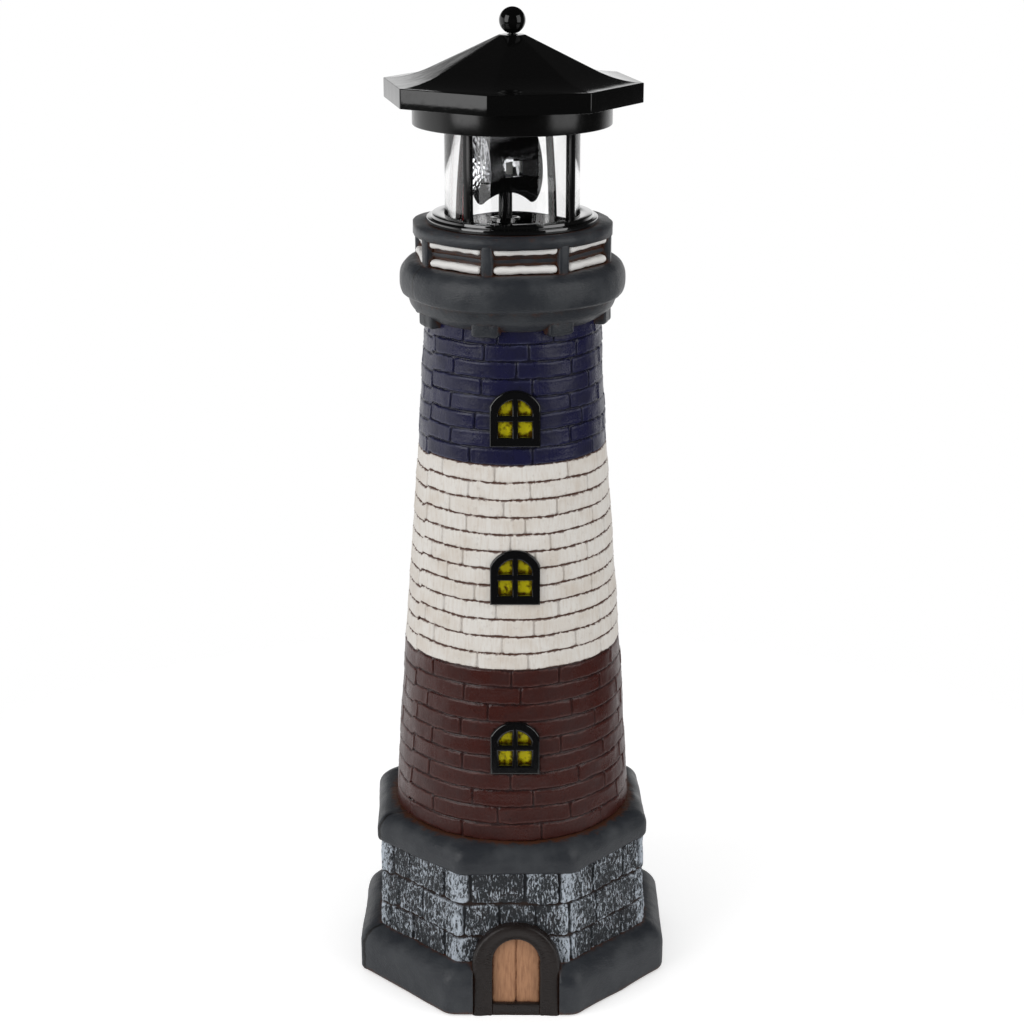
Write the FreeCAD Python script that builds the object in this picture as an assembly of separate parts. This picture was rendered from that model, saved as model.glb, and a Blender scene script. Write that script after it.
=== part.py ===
import FreeCAD, Part

import math
import os

# Garden lighthouse ornament: a hollow fired-clay tower with a solar lantern that
# lifts out of the collar of the gallery. Millimetres, +Z up, the origin on the
# ground under the tower's axis, the door towards -Y, +X to the right of the door.

V = FreeCAD.Vector
UP = V(0, 0, 1)
AXIS = V(0, 0, 0)

# ---------------------------------------------------------------- driving sizes
SIDES = 8                      # the plinth, gallery and roof are all octagons
ARCH_STEPS = 8                 # chords in the head of an arched outline
ROUND_FACETS = 32              # flats round the large rounds that nothing turns in
SMALL_FACETS = 12              # flats round screws, bosses, pegs and their holes

# Plinth: a rounded foot, a band of rough stone, and a rounded ledge
foot_across_flats = 116.0
foot_height = 18.6
foot_top_round = 8.0
foot_bottom_round = 2.0
foot_corner_round = 7.0
wall_foot_radius = 54.6        # corner radius of the stone band at the foot
wall_head_radius = 53.4        # and under the ledge
wall_height = 35.4
stone_course = 11.8
stone_joint_depth = 0.9
stone_joint_width = 2.0
ledge_radius = 55.0            # corner radius at its widest
ledge_height = 10.8
ledge_top_round = 6.0
ledge_bottom_round = 2.0
ledge_corner_round = 6.0
ledge_turn = 2.5               # the ledge sits slightly turned, in degrees
ledge_shift = -0.6             # and slightly off the axis, along X

# Door moulded into the front of the plinth
door_centre_x = 1.4
door_width = 17.4
door_sill = 4.7
door_height = 25.6             # from the sill to the crown of the arch
door_rise = 7.0                # the leaves' arch
surround_width = 32.8
surround_height = 34.4
surround_rise = 15.4
door_lean = 7.5                # the whole front leans back, in degrees
door_proud = 0.7               # the surround's foot stays this far behind the foot's face
door_recess = 3.0
door_edge = 1.6                # bevel on the surround's outer edge
door_seam = 0.8                # groove between the two leaves
door_seam_depth = 0.5

# Tower: three painted bands of brick courses, each with its own taper
brick_course = 6.3
brick_facets = 20              # flats round the tower: the bricks' faces are flat
tower_foot_radius = 44.4       # radii are measured midway between flats and corners
red_height = 65.9
red_top_radius = 40.1
white_height = 75.0
white_top_radius = 34.3
blue_height = 49.0
blue_top_radius = 31.5
brick_joint_depth = 0.55       # how deep the bed joints are cut
brick_joint_width = 1.1

# Corbels, ring moulding and octagonal gallery
skirt_height = 3.0
skirt_top_radius = 35.2
skirt_bottom_radius = 33.4
ring_radius = 40.2
ring_height = 15.1
ring_round = 5.6
corbel_width = 8.8
corbel_drop = 3.0              # they reach this far below the skirt
corbel_radius = 34.6
corbel_turn = -1.2             # the corbels stand this far round from the posts, in degrees
gallery_turn = 8.0
gallery_radius = 35.7          # over the corner posts
gallery_height = 13.3
gallery_cap_height = 2.9
gallery_cap_radius = 36.6
gallery_cap_round = 20.0
gallery_recess = 1.9           # the panels lie this far behind the posts
gallery_post_width = 4.2
rail_height = 2.7
rail_proud = 1.3
rail_end_gap = 0.7
rail_gap = 3.9                 # clear height between the two pale rails
rail_foot_gap = 0.4
rib_height = 1.6
rib_proud = 0.7

# Hollow inside
casting_wall = 4.9
foot_wall = 5.2
collar_bore_radius = 27.6
collar_bore_step = 0.8         # the cavity is this much narrower under the bore

# Windows: glossy inserts glued into sockets down the front
window_width = 17.8
window_height = 20.2
window_rise = 5.6              # height of the arched head
window_thickness = 3.4
window_proud = 1.0             # how far the frame stands out of the brick
window_border = 3.0
window_mullion = 2.1
window_transom = 2.2
window_bevel = 0.7
window_centre_x = 1.0
window_fit = 0.15              # gap around a frame in its socket
pane_thickness = 1.2
pane_lap = 1.0                 # the pane laps this far behind the frame's bars
window_heights = (101.4, 165.4, 222.7)
window_names = ("lower", "middle", "upper")

# Lamp base: the black moulding that sits in the collar and carries the lantern
flange_radius = 30.4
flange_thickness = 1.9
deck_radius = 28.6
deck_thickness = 1.2
lamp_floor_depth = 5.2         # floor of the lantern below the deck
lamp_floor_thickness = 1.6
hub_radius = 5.2
hub_height = 5.7
hub_well_radius = 4.0
hub_well_depth = 2.6

# Clear tube and the frame that holds the roof over it
tube_radius = 23.9
tube_wall = 1.5
tube_fit = 0.15
lantern_opening = 31.0         # from the deck to the drum
post_width = 2.8
post_depth = 2.2
post_fit = 0.05
post_turn = -37.0              # azimuth of the first post
post_count = 4
post_foot_depth = 3.0
drum_height = 8.1
drum_wall = 1.6
drum_floor = 1.8
tube_socket_depth = 1.0

# Roof
roof_radius = 45.95            # corner radius at the eaves
roof_turn = 12.2
eaves_overhang = 7.45          # from the drum out to the flats of the eaves
fascia_height = 6.8
roof_wall = 1.6
roof_crown_radius = 4.6
roof_straight_radius = 29.0    # the hips run straight in to here
roof_straight_drop = 11.5      # from the crown to the end of the straight hips
roof_rise = 15.5               # from the eaves to the crown
roof_curve_steps = 4
soffit_fit = 0.2
soffit_thickness = 1.4
roof_screw_turns = (90.0, -90.0)

# Ball on the crown
ball_radius = 4.6
ball_facets = 24
ball_bands = 8
ball_neck_radius = 1.9
ball_gap = 0.2                 # the ball stays this far above the crown
ball_peg_length = 4.0
peg_fit = 0.05
peg_end_gap = 0.5

# Solar cell let into the roof's rear face
cell_inner = 12.5              # distances from the axis, in plan
cell_outer = 25.5
cell_side_margin = 1.5
cell_depth = 0.9
cell_fit = 0.1

# Beacon: two back-to-back reflectors on a hollow spindle
rotor_x = -2.4
beacon_height = 20.6           # centre of the beacon above the lantern floor
beacon_turn = 22.0
mouth_radius = 11.0
mouth_distance = 9.6           # from the middle to each rim
waist_radius = 7.9
reflector_wall = 0.8
bowl_hole_radius = 4.3
bowl_foot = 4.6                # the bowls start this far from the middle
bowl_bands = 3
reflector_facets = 20          # the chromed skins are moulded in narrow flats
lamp_slot_width = 6.2
lamp_slot_height = 4.6
spindle_radius = 2.4
spindle_bore = 1.5
running_fit = 0.05

# Drive
tooth_module = 0.6
gear_teeth = 30
pinion_teeth = 9
gear_thickness = 2.6
tooth_thickness = 0.66         # at the pitch circle
tooth_tip = 0.34
tooth_addendum = 0.5
tooth_dedendum = 0.7
pinion_direction = 45.0
thrust_gap = 0.1
motor_radius = 7.5
motor_height = 11.4
motor_shaft_radius = 1.0

# Housing under the lamp base
housing_radius = 27.2
housing_wall = 1.3
housing_depth = 20.9
cover_thickness = 1.5
plate_thickness = 1.5
plate_drop = 7.4               # from the lantern floor's underside to the plate
boss_radius = 2.4
boss_circle = 22.9
boss_web = 1.6
boss_azimuths = (0.0, 180.0)
screw_radius = 1.1
screw_head_radius = 2.3
screw_head_height = 1.4
screw_length = 6.0             # hole in the boss
screw_end_gap = 1.0

# Battery, contacts, board, switch and wires
battery_radius = 5.25
battery_length = 44.5
battery_nub_radius = 1.9
battery_nub = 1.0
battery_y = -5.6
battery_lift = 0.3
contact_thickness = 0.4
contact_width = 6.0
contact_height = 8.5
contact_rib = 1.0
board_size = (14.2, 9.2, 1.0)
board_centre = (-12.2, 9.2)
board_drop = 2.0
board_peg = 1.8
chip_size = (4.4, 3.4, 1.3)
switch_size = (8.6, 4.4, 3.8)
switch_y = -17.3
knob_size = (2.0, 1.7)
knob_travel = 2.0
knob_below = 1.3
knob_inside = 1.2
knob_clearance = 0.15
wire_radius = 0.55
wire_facets = 6
wire_slot_gap = 0.15
wire_circle = 21.3
wire_azimuth = -127.0
wire_pitch = 1.5               # between the two leads, side by side
wire_step = 2.4                # the black lead turns in under the roof this much lower
wire_spread = 4.0              # between their ends on the back of the cell
wire_rise = 3.0
wire_bend = 3.0

# LED on its fixed stem inside the spindle
stem_radius = 1.1
stem_boss_radius = 3.0
led_size = (5.0, 4.4, 4.8)

# ---------------------------------------------------------------- levels
HALF_SECTOR = math.pi / SIDES
TO_FLAT = math.cos(HALF_SECTOR)     # an octagon's flats lie this share of its corner radius out
drum_radius = roof_radius * TO_FLAT - eaves_overhang
ledge_z = foot_height + wall_height
tower_z = ledge_z + ledge_height
white_z = tower_z + red_height
blue_z = white_z + white_height
skirt_z = blue_z + blue_height
ring_z = skirt_z + skirt_height
gallery_z = ring_z + ring_height
collar_z = gallery_z + gallery_height
flange_z = collar_z + flange_thickness
deck_z = flange_z + deck_thickness
floor_z = deck_z - lamp_floor_depth
floor_underside_z = floor_z - lamp_floor_thickness
drum_z = deck_z + lantern_opening
eaves_z = drum_z + drum_height
roof_z = eaves_z + fascia_height
crown_z = roof_z + roof_rise
ball_z = crown_z + ball_gap + ball_radius
beacon_z = floor_z + beacon_height
cover_top_z = floor_underside_z - housing_depth
cover_z = cover_top_z - cover_thickness
plate_top_z = floor_underside_z - plate_drop
plate_z = plate_top_z - plate_thickness
stem_boss_top_z = plate_top_z + 1.6
spindle_z = stem_boss_top_z + thrust_gap
gear_z = spindle_z + 0.6
ROTOR_AXIS = V(rotor_x, 0, 0)


# ---------------------------------------------------------------- helpers
def at_azimuth(radius, azimuth, z=0.0):
    """A point at a radius and azimuth, counted from the front (-Y) towards +X."""
    angle = math.radians(azimuth)
    return V(radius * math.sin(angle), -radius * math.cos(angle), z)


def cylinder(radius, bottom, top, centre=AXIS):
    return Part.makeCylinder(radius, top - bottom, V(centre.x, centre.y, bottom))


def block(size_x, size_y, bottom, top, centre=AXIS):
    corner = V(centre.x - size_x / 2, centre.y - size_y / 2, bottom)
    return Part.makeBox(size_x, size_y, top - bottom, corner)


def polygon_corners(radius, z, sides, turn):
    """Corners of a regular polygon that has a flat towards the front."""
    return [at_azimuth(radius, turn + 360 / sides * (i + 0.5), z) for i in range(sides)]


def polygon_loft(sections, sides=SIDES, turn=0.0):
    """A flat-sided solid through polygons given as (corner radius, height), upwards."""
    levels = [polygon_corners(radius, z, sides, turn) for radius, z in sections]
    foot, head = levels[0], levels[-1]
    faces = [Part.Face(Part.makePolygon(foot[::-1] + foot[-1:])),
             Part.Face(Part.makePolygon(head + head[:1]))]
    for low, high in zip(levels, levels[1:]):
        for i in range(sides):
            faces.append(Part.Face(Part.makePolygon([low[i - 1], low[i], high[i], high[i - 1], low[i - 1]])))
    return Part.Solid(Part.Shell(faces))


def round_loft(sections, sides):
    """A round form in many flats: radii are measured midway between flats and corners."""
    corner = 2 / (1 + math.cos(math.pi / sides))
    return polygon_loft([(radius * corner, z) for radius, z in sections], sides)


def fixed_round(radius, bottom, top):
    """A large round that nothing turns in; its flats line up from part to part."""
    return round_loft([(radius, bottom), (radius, top)], ROUND_FACETS)


def small_round(radius, bottom, top, centre):
    """A small fixed round: a screw, boss, peg or hole."""
    shape = round_loft([(radius, bottom), (radius, top)], SMALL_FACETS)
    shape.translate(V(centre.x, centre.y, 0))
    return shape


def rounded_octagon(radius, z, turn, corner_round):
    """An octagon with a flat towards the front and rounded corners."""
    corners = polygon_corners(radius, z, SIDES, turn)
    setback = corner_round * math.tan(HALF_SECTOR)
    bulge = corner_round / TO_FLAT - corner_round
    arcs = []
    for i, corner in enumerate(corners):
        before = (corners[i - 1] - corner).normalize()
        after = (corners[(i + 1) % SIDES] - corner).normalize()
        inwards = V(-corner.x, -corner.y, 0).normalize()
        arcs.append((corner + before * setback, corner + inwards * bulge, corner + after * setback))
    edges = []
    for i, (start, middle, end) in enumerate(arcs):
        edges.append(Part.LineSegment(arcs[i - 1][2], start).toShape())
        edges.append(Part.Arc(start, middle, end).toShape())
    return Part.Wire(edges)


def rounded_loft(sections, turn, corner_round):
    """A solid through rounded octagons given as (corner radius, height)."""
    wires = [rounded_octagon(radius, z, turn, corner_round) for radius, z in sections]
    return Part.makeLoft(wires, True, True)


def quarter_round(radius, z, round_radius, steps, upper):
    """Points of a quarter round from a vertical side to a flat top or bottom."""
    points = []
    for i in range(steps + 1):
        angle = math.pi / 2 * i / steps
        rise = round_radius * math.sin(angle)
        points.append((radius - round_radius * (1 - math.cos(angle)), z + rise if upper else z - rise))
    return points if upper else points[::-1]


def arch_wire(width, height, rise, steps=ARCH_STEPS):
    """An arched outline in the XZ plane, standing on the origin, its head in short chords."""
    half = width / 2
    radius = (half ** 2 + rise ** 2) / (2 * rise)
    reach = math.asin(half / radius) if rise <= half else math.pi - math.asin(half / radius)
    points = [V(-half, 0, 0), V(half, 0, 0)]
    for i in range(steps + 1):
        angle = reach * (1 - 2 * i / steps)
        points.append(V(radius * math.sin(angle), 0, height - radius * (1 - math.cos(angle))))
    return Part.makePolygon(points + points[:1])


def arch_slab(width, height, rise, front, back):
    """An arched slab between two depths: front and back are Y values, front the lower."""
    face = Part.Face(arch_wire(width, height, rise))
    face.translate(V(0, back, 0))
    return face.extrude(V(0, front - back, 0))


def fuse_all(shapes):
    return shapes[0].fuse(shapes[1:]) if len(shapes) > 1 else shapes[0]


# ---------------------------------------------------------------- clay casting
def tower_radius_at(z):
    """Radius of the brick face of the tower at a height, joints left out."""
    levels = (tower_z, white_z, blue_z, skirt_z)
    radii = (tower_foot_radius, red_top_radius, white_top_radius, blue_top_radius)
    for i in range(3):
        if z <= levels[i + 1] or i == 2:
            share = (z - levels[i]) / (levels[i + 1] - levels[i])
            return radii[i] + (radii[i + 1] - radii[i]) * share


def jointed(start, height, course, joint_width, joint_depth, radius_at):
    """Sections up a wall, with a V-shaped bed joint cut at the top of each course."""
    courses = round(height / course)
    sections = []
    for i in range(1, courses + 1):
        joint_z = start + height * i / courses
        for offset, depth in ((-joint_width / 2, 0), (0, joint_depth), (joint_width / 2, 0)):
            sections.append((radius_at(joint_z + offset) - depth, joint_z + offset))
    return sections


def brick_shaft():
    """The tapered tower, a V-shaped bed joint between its courses."""
    sections = [(tower_foot_radius, ledge_z), (tower_foot_radius, tower_z)]
    for start, height in ((tower_z, red_height), (white_z, white_height), (blue_z, blue_height)):
        sections += jointed(start, height, brick_course, brick_joint_width, brick_joint_depth,
                            tower_radius_at)
    sections.append((blue_top_radius, ring_z))
    return round_loft(sections, brick_facets)


def plinth(door_clearing):
    """Rounded foot, open before the door, stone wall with its bed joints, and rounded ledge."""
    foot_radius = foot_across_flats / 2 / TO_FLAT
    foot_sections = [(foot_radius - foot_bottom_round, 0), (foot_radius, foot_bottom_round)]
    foot_sections += quarter_round(foot_radius, foot_height - foot_top_round, foot_top_round, 4, True)
    foot = rounded_loft(foot_sections, 0, foot_corner_round).cut(door_clearing)

    def wall_radius_at(z):
        share = (z - foot_height) / wall_height
        return wall_foot_radius + (wall_head_radius - wall_foot_radius) * share

    wall_sections = [(wall_foot_radius, foot_height - foot_top_round)]
    wall_sections += jointed(foot_height, wall_height, stone_course, stone_joint_width,
                             stone_joint_depth, wall_radius_at)
    wall = polygon_loft(wall_sections + [(wall_head_radius, tower_z - ledge_top_round)])
    ledge_sections = [(ledge_radius - ledge_bottom_round, ledge_z),
                      (ledge_radius, ledge_z + ledge_bottom_round)]
    ledge_sections += quarter_round(ledge_radius, tower_z - ledge_top_round, ledge_top_round, 4, True)
    ledge = rounded_loft(ledge_sections, ledge_turn, ledge_corner_round)
    ledge.translate(V(ledge_shift, 0, 0))
    return [foot, wall, ledge]


def ring_and_corbels():
    """The heavy round moulding under the gallery, on a coved skirt and corbels."""
    sections = [(skirt_bottom_radius, skirt_z), (skirt_top_radius, ring_z)]
    sections += quarter_round(ring_radius, ring_z + ring_round, ring_round, 3, False)[1:]
    sections += quarter_round(ring_radius, gallery_z - ring_round, ring_round, 3, True)
    shapes = [round_loft(sections, ROUND_FACETS)]
    for i in range(SIDES):
        azimuth = gallery_turn + corbel_turn + 360 / SIDES * (i + 0.5)
        shapes.append(radial_block(corbel_width, blue_top_radius / 2, corbel_radius,
                                   skirt_z - corbel_drop, ring_z, azimuth))
    return shapes


def gallery():
    """Octagonal parapet: recessed panels, a rounded cap, corner posts and raised rails."""
    panel_radius = gallery_radius - gallery_recess / TO_FLAT
    cap_z = collar_z - gallery_cap_height
    cap_sections = [(gallery_cap_radius, cap_z), (gallery_cap_radius, collar_z)]
    shapes = [polygon_loft([(panel_radius, gallery_z - 1), (panel_radius, collar_z)], SIDES, gallery_turn),
              rounded_loft(cap_sections, gallery_turn, gallery_cap_round)]
    face_distance = panel_radius * TO_FLAT
    face_width = 2 * gallery_radius * math.sin(HALF_SECTOR)
    rail_length = face_width - gallery_post_width - 2 * rail_end_gap
    corner_sections = [(gallery_radius, gallery_z - 1), (gallery_radius, cap_z)]
    corners = polygon_loft(corner_sections, SIDES, gallery_turn)
    keep = []
    for i in range(SIDES):
        post = Part.makeBox(gallery_post_width, gallery_radius, gallery_height,
                            V(-gallery_post_width / 2, -gallery_radius, gallery_z - 1))
        post.rotate(AXIS, UP, gallery_turn + 360 / SIDES * (i + 0.5))
        keep.append(post)
    shapes.append(corners.common(fuse_all(keep)))
    lower_z = gallery_z + rail_foot_gap
    rib_z = lower_z + rail_height + (rail_gap - rib_height) / 2
    for i in range(SIDES):
        azimuth = gallery_turn + 360 / SIDES * i
        for z in (lower_z, lower_z + rail_height + rail_gap):
            rail = bevelled_bar(rail_length, rail_height, rail_proud + 1)
            rail.translate(V(0, -face_distance - rail_proud, z))
            rail.rotate(AXIS, UP, azimuth)
            shapes.append(rail)
        rib = Part.makeBox(face_width - gallery_post_width, rib_proud + 1, rib_height,
                           V(-(face_width - gallery_post_width) / 2, -face_distance - rib_proud, rib_z))
        rib.rotate(AXIS, UP, azimuth)
        shapes.append(rib)
    return shapes


def bevelled_bar(length, height, depth):
    """A bar along X with bevelled ends, its front face in the XZ plane at y 0."""
    half = length / 2
    bevel = height / 3
    corners = ((half - bevel, 0), (half, bevel), (half, height - bevel), (half - bevel, height))
    points = [V(x, 0, z) for x, z in corners] + [V(-x, 0, z) for x, z in corners[::-1]]
    return Part.Face(Part.makePolygon(points + points[:1])).extrude(V(0, depth, 0))


def hollow():
    """The cast cavity, open at the foot, following the outside at the wall's thickness."""
    foot_inner = (foot_across_flats / 2 - foot_wall) / TO_FLAT
    wall_inner = wall_head_radius - casting_wall / TO_FLAT
    shoulder_z = ledge_z - casting_wall
    shoulder_radius = tower_foot_radius - casting_wall
    plinth_cavity = polygon_loft([
        (foot_inner, -1), (foot_inner, foot_height - foot_top_round - foot_bottom_round),
        (wall_inner, foot_height + casting_wall), (wall_inner, shoulder_z), (shoulder_radius, ledge_z)])
    shaft_cavity = round_loft([
        (shoulder_radius, shoulder_z), (shoulder_radius, tower_z),
        (red_top_radius - casting_wall, white_z), (white_top_radius - casting_wall, blue_z),
        (blue_top_radius - casting_wall, skirt_z), (collar_bore_radius - collar_bore_step, ring_z)],
        brick_facets)
    return [plinth_cavity, shaft_cavity, fixed_round(collar_bore_radius, ring_z, collar_z + 1)]


def place_on_tower(shape, z):
    """Stand a shape made at the origin against the brick face at a height, leaning with it."""
    run = tower_radius_at(z - window_height / 2) - tower_radius_at(z + window_height / 2)
    lean = math.degrees(math.atan2(run, window_height))
    shape.rotate(AXIS, V(1, 0, 0), -lean)
    shape.translate(V(window_centre_x, -tower_radius_at(z), z))
    return shape


def window_slab(grow, front, back):
    """The window's arched outline, centred on its height, grown all round."""
    slab = arch_slab(window_width + 2 * grow, window_height + 2 * grow, window_rise + grow / 2, front, back)
    slab.translate(V(0, 0, -window_height / 2 - grow))
    return slab


def window_socket(z):
    back = window_thickness - window_proud + pane_thickness
    return place_on_tower(window_slab(window_fit, -window_proud - 5, back), z)


def door():
    """Arched surround, the clearing before it in the foot, and the recess of the leaves."""
    front = V(door_centre_x, -foot_across_flats / 2 + door_proud, 0)
    deep = door_recess + casting_wall
    bevelled = [arch_wire(surround_width - 2 * door_edge, surround_height - door_edge,
                          surround_rise - door_edge),
                arch_wire(surround_width, surround_height, surround_rise)]
    bevelled[1].translate(V(0, door_edge, 0))
    surround = Part.makeLoft(bevelled, True, True)
    surround = surround.fuse([arch_slab(surround_width, surround_height, surround_rise, door_edge, deep),
                              block(surround_width - 2 * door_edge, deep, -deep, 1, V(0, deep / 2, 0))])
    clearing = arch_slab(surround_width, surround_height + door_sill, surround_rise, -foot_height, 0)
    clearing.translate(V(0, 0, -door_sill))
    recess = arch_slab(door_width, door_height, door_rise, -5, door_recess)
    recess.translate(V(0, 0, door_sill))
    seam = block(door_seam, 2 * door_seam_depth, door_sill, door_sill + door_height, V(0, door_recess, 0))
    for shape in (surround, clearing, recess, seam):
        shape.rotate(AXIS, V(1, 0, 0), -door_lean)
        shape.translate(front)
    ground = block(2 * foot_across_flats, 2 * foot_across_flats, -foot_across_flats, 0)
    return surround.cut(ground), clearing, [recess, seam]


def tower_casting():
    surround, clearing, door_cuts = door()
    solid = fuse_all(plinth(clearing) + [brick_shaft()] + ring_and_corbels() + gallery() + [surround])
    sockets = [window_socket(z) for z in window_heights]
    return solid.cut(hollow() + sockets + door_cuts).removeSplitter()


# ---------------------------------------------------------------- windows
def window_frame(z):
    """Arched frame with a bevelled front edge and four lights between crossed bars."""
    front = -window_proud
    back = window_thickness - window_proud
    body = window_slab(0, front + window_bevel, back)
    rims = [arch_wire(window_width - 2 * window_bevel, window_height - 2 * window_bevel,
                      window_rise - window_bevel / 2),
            arch_wire(window_width, window_height, window_rise)]
    rims[0].translate(V(0, front, -window_height / 2 + window_bevel))
    rims[1].translate(V(0, front + window_bevel, -window_height / 2))
    body = body.fuse(Part.makeLoft(rims, True, True))
    glazed = window_slab(-window_border, front - 1, back + 1)
    upright = Part.makeBox(window_mullion, window_thickness + 4, window_height,
                           V(-window_mullion / 2, front - 2, -window_height / 2))
    transom = Part.makeBox(window_width, window_thickness + 4, window_transom,
                           V(-window_width / 2, front - 2, -window_transom / 2))
    lights = glazed.cut([upright, transom])
    return place_on_tower(body.cut(lights), z)


def window_pane(z):
    back = window_thickness - window_proud
    return place_on_tower(window_slab(pane_lap - window_border, back, back + pane_thickness), z)


# ---------------------------------------------------------------- lamp base and lantern
def post_azimuths():
    return [post_turn + 360 / post_count * i for i in range(post_count)]


def radial_block(width, inner, outer, bottom, top, azimuth):
    shape = Part.makeBox(width, outer - inner, top - bottom, V(-width / 2, -outer, bottom))
    shape.rotate(AXIS, UP, azimuth)
    return shape


def wire_slot(bottom, top):
    """A slot that both leads pass through, side by side."""
    reach = wire_radius + wire_slot_gap
    return radial_block(wire_pitch + 2 * reach, wire_circle - reach, wire_circle + reach, bottom, top,
                        wire_azimuth)


def lamp_base():
    """Flange on the collar, glossy deck, sunk floor and the hub that guides the spindle."""
    well_radius = tube_radius + tube_fit
    hub_top = floor_z + hub_height
    shape = fixed_round(flange_radius, collar_z, flange_z).fuse([
        fixed_round(deck_radius, flange_z, deck_z),
        fixed_round(housing_radius, floor_underside_z, collar_z)])
    shape = shape.cut(fixed_round(well_radius, floor_z, deck_z + 1))
    shape = shape.fuse(cylinder(hub_radius, floor_z, hub_top, ROTOR_AXIS))
    slots = [radial_block(post_width + 2 * post_fit, tube_radius, well_radius + post_depth + post_fit,
                          deck_z - post_foot_depth, deck_z + 1, azimuth) for azimuth in post_azimuths()]
    return shape.cut(slots + [
        wire_slot(floor_underside_z - 1, floor_z + 1),
        cylinder(spindle_radius + running_fit, floor_underside_z - 1, hub_top + 1, ROTOR_AXIS),
        cylinder(hub_well_radius, hub_top - hub_well_depth, hub_top + 1, ROTOR_AXIS)])


def lens_tube():
    top = drum_z + tube_socket_depth
    return fixed_round(tube_radius, floor_z, top).cut(
        fixed_round(tube_radius - tube_wall, floor_z - 1, top + 1))


def lantern_frame():
    """Drum under the roof with its octagonal soffit, and the four posts down to the deck."""
    drum_bore = drum_radius - drum_wall
    soffit_corner = roof_radius - (roof_wall + soffit_fit) / TO_FLAT
    soffit_top_z = eaves_z + soffit_thickness
    soffit = polygon_loft([(soffit_corner, eaves_z), (soffit_corner, soffit_top_z)], SIDES, roof_turn)
    soffit = soffit.cut(fixed_round(drum_bore, eaves_z - 1, soffit_top_z + 1))
    post_inner = tube_radius + tube_fit
    posts = [radial_block(post_width, post_inner, post_inner + post_depth,
                          deck_z - post_foot_depth, drum_z, azimuth) for azimuth in post_azimuths()]
    drum = fixed_round(drum_radius, drum_z, eaves_z).cut([
        fixed_round(drum_bore, drum_z + drum_floor, eaves_z + 1),
        fixed_round(post_inner, drum_z - 1, drum_z + tube_socket_depth)])
    holes = [small_round(screw_radius, eaves_z - 1, soffit_top_z + 1, place)
             for place in roof_screw_places()]
    return fuse_all([drum, soffit] + posts).cut(holes + [
        wire_slot(drum_z - 1, drum_z + drum_floor + 1)])


def roof_screw_places():
    """Points of the soffit midway between the drum and the eaves."""
    return [at_azimuth(drum_radius + eaves_overhang / 2 - roof_wall / 2, roof_turn + turn)
            for turn in roof_screw_turns]


def roof_outline():
    """Corner radius and height up the roof: fascia, a curve that steepens, straight hips."""
    start_z = crown_z - roof_straight_drop
    run = roof_radius - roof_straight_radius
    slope = roof_straight_drop / (roof_straight_radius - roof_crown_radius)
    sections = [(roof_radius, eaves_z), (roof_radius, roof_z)]
    for i in range(1, roof_curve_steps + 1):
        share = i / roof_curve_steps
        bend = (start_z - roof_z) * (3 - 2 * share) * share ** 2 - slope * run * (1 - share) * share ** 2
        sections.append((roof_radius - run * share, roof_z + bend))
    return sections + [(roof_crown_radius, crown_z)]


def roof_shell():
    """Thin eight-sided roof: upright fascia, swept hips and a small flat crown."""
    outer = polygon_loft(roof_outline(), SIDES, roof_turn)
    inner_corner = roof_radius - roof_wall / TO_FLAT
    under = outer.copy()
    under.translate(V(0, 0, -roof_wall))
    inside = polygon_loft([(inner_corner, eaves_z - 1), (inner_corner, crown_z)], SIDES, roof_turn)
    soffit_top_z = eaves_z + soffit_thickness
    bosses = [small_round(boss_radius, soffit_top_z, crown_z, place).common(outer)
              for place in roof_screw_places()]
    drilled = [small_round(screw_radius, eaves_z, soffit_top_z + screw_length, place)
               for place in roof_screw_places()]
    peg_hole = small_round(ball_neck_radius + peg_fit, crown_z - ball_peg_length, crown_z + 1, AXIS)
    wire_way = on_rear_face(block(wire_spread + 2 * wire_radius + 2 * wire_slot_gap,
                                  2 * (wire_radius + wire_slot_gap), -2 * roof_wall, -cell_depth / 2))
    return outer.cut(inside.common(under)).fuse(bosses).cut(
        drilled + [peg_hole, cell_slab(cell_fit), wire_way])


def rear_face_frame():
    """Azimuth, tilt and a point of the straight part of the roof's rear face."""
    tilt = math.atan2(roof_straight_drop, (roof_straight_radius - roof_crown_radius) * TO_FLAT)
    middle = (cell_inner + cell_outer) / 2
    azimuth = roof_turn + 180
    return azimuth, tilt, at_azimuth(middle, azimuth, crown_z - (middle - roof_crown_radius * TO_FLAT)
                                     * math.tan(tilt))


def on_rear_face(shape):
    """Move a shape from the XY plane onto the roof's rear face, its +Z outwards, +Y uphill."""
    azimuth, tilt, middle = rear_face_frame()
    shape.rotate(AXIS, V(1, 0, 0), math.degrees(tilt))
    shape.rotate(AXIS, UP, azimuth)
    shape.translate(middle)
    return shape


def cell_slab(grow):
    """The cell's four-sided slab, wider towards the eaves, let into the rear face."""
    tilt = rear_face_frame()[1]
    half_length = (cell_outer - cell_inner) / 2 / math.cos(tilt) + grow
    top_half = cell_inner * math.tan(HALF_SECTOR) - cell_side_margin + grow
    bottom_half = cell_outer * math.tan(HALF_SECTOR) - cell_side_margin + grow
    points = [V(-bottom_half, -half_length, 0), V(bottom_half, -half_length, 0),
              V(top_half, half_length, 0), V(-top_half, half_length, 0)]
    return on_rear_face(Part.Face(Part.makePolygon(points + points[:1])).extrude(V(0, 0, -cell_depth)))


def solar_cell():
    return cell_slab(0)


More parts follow.
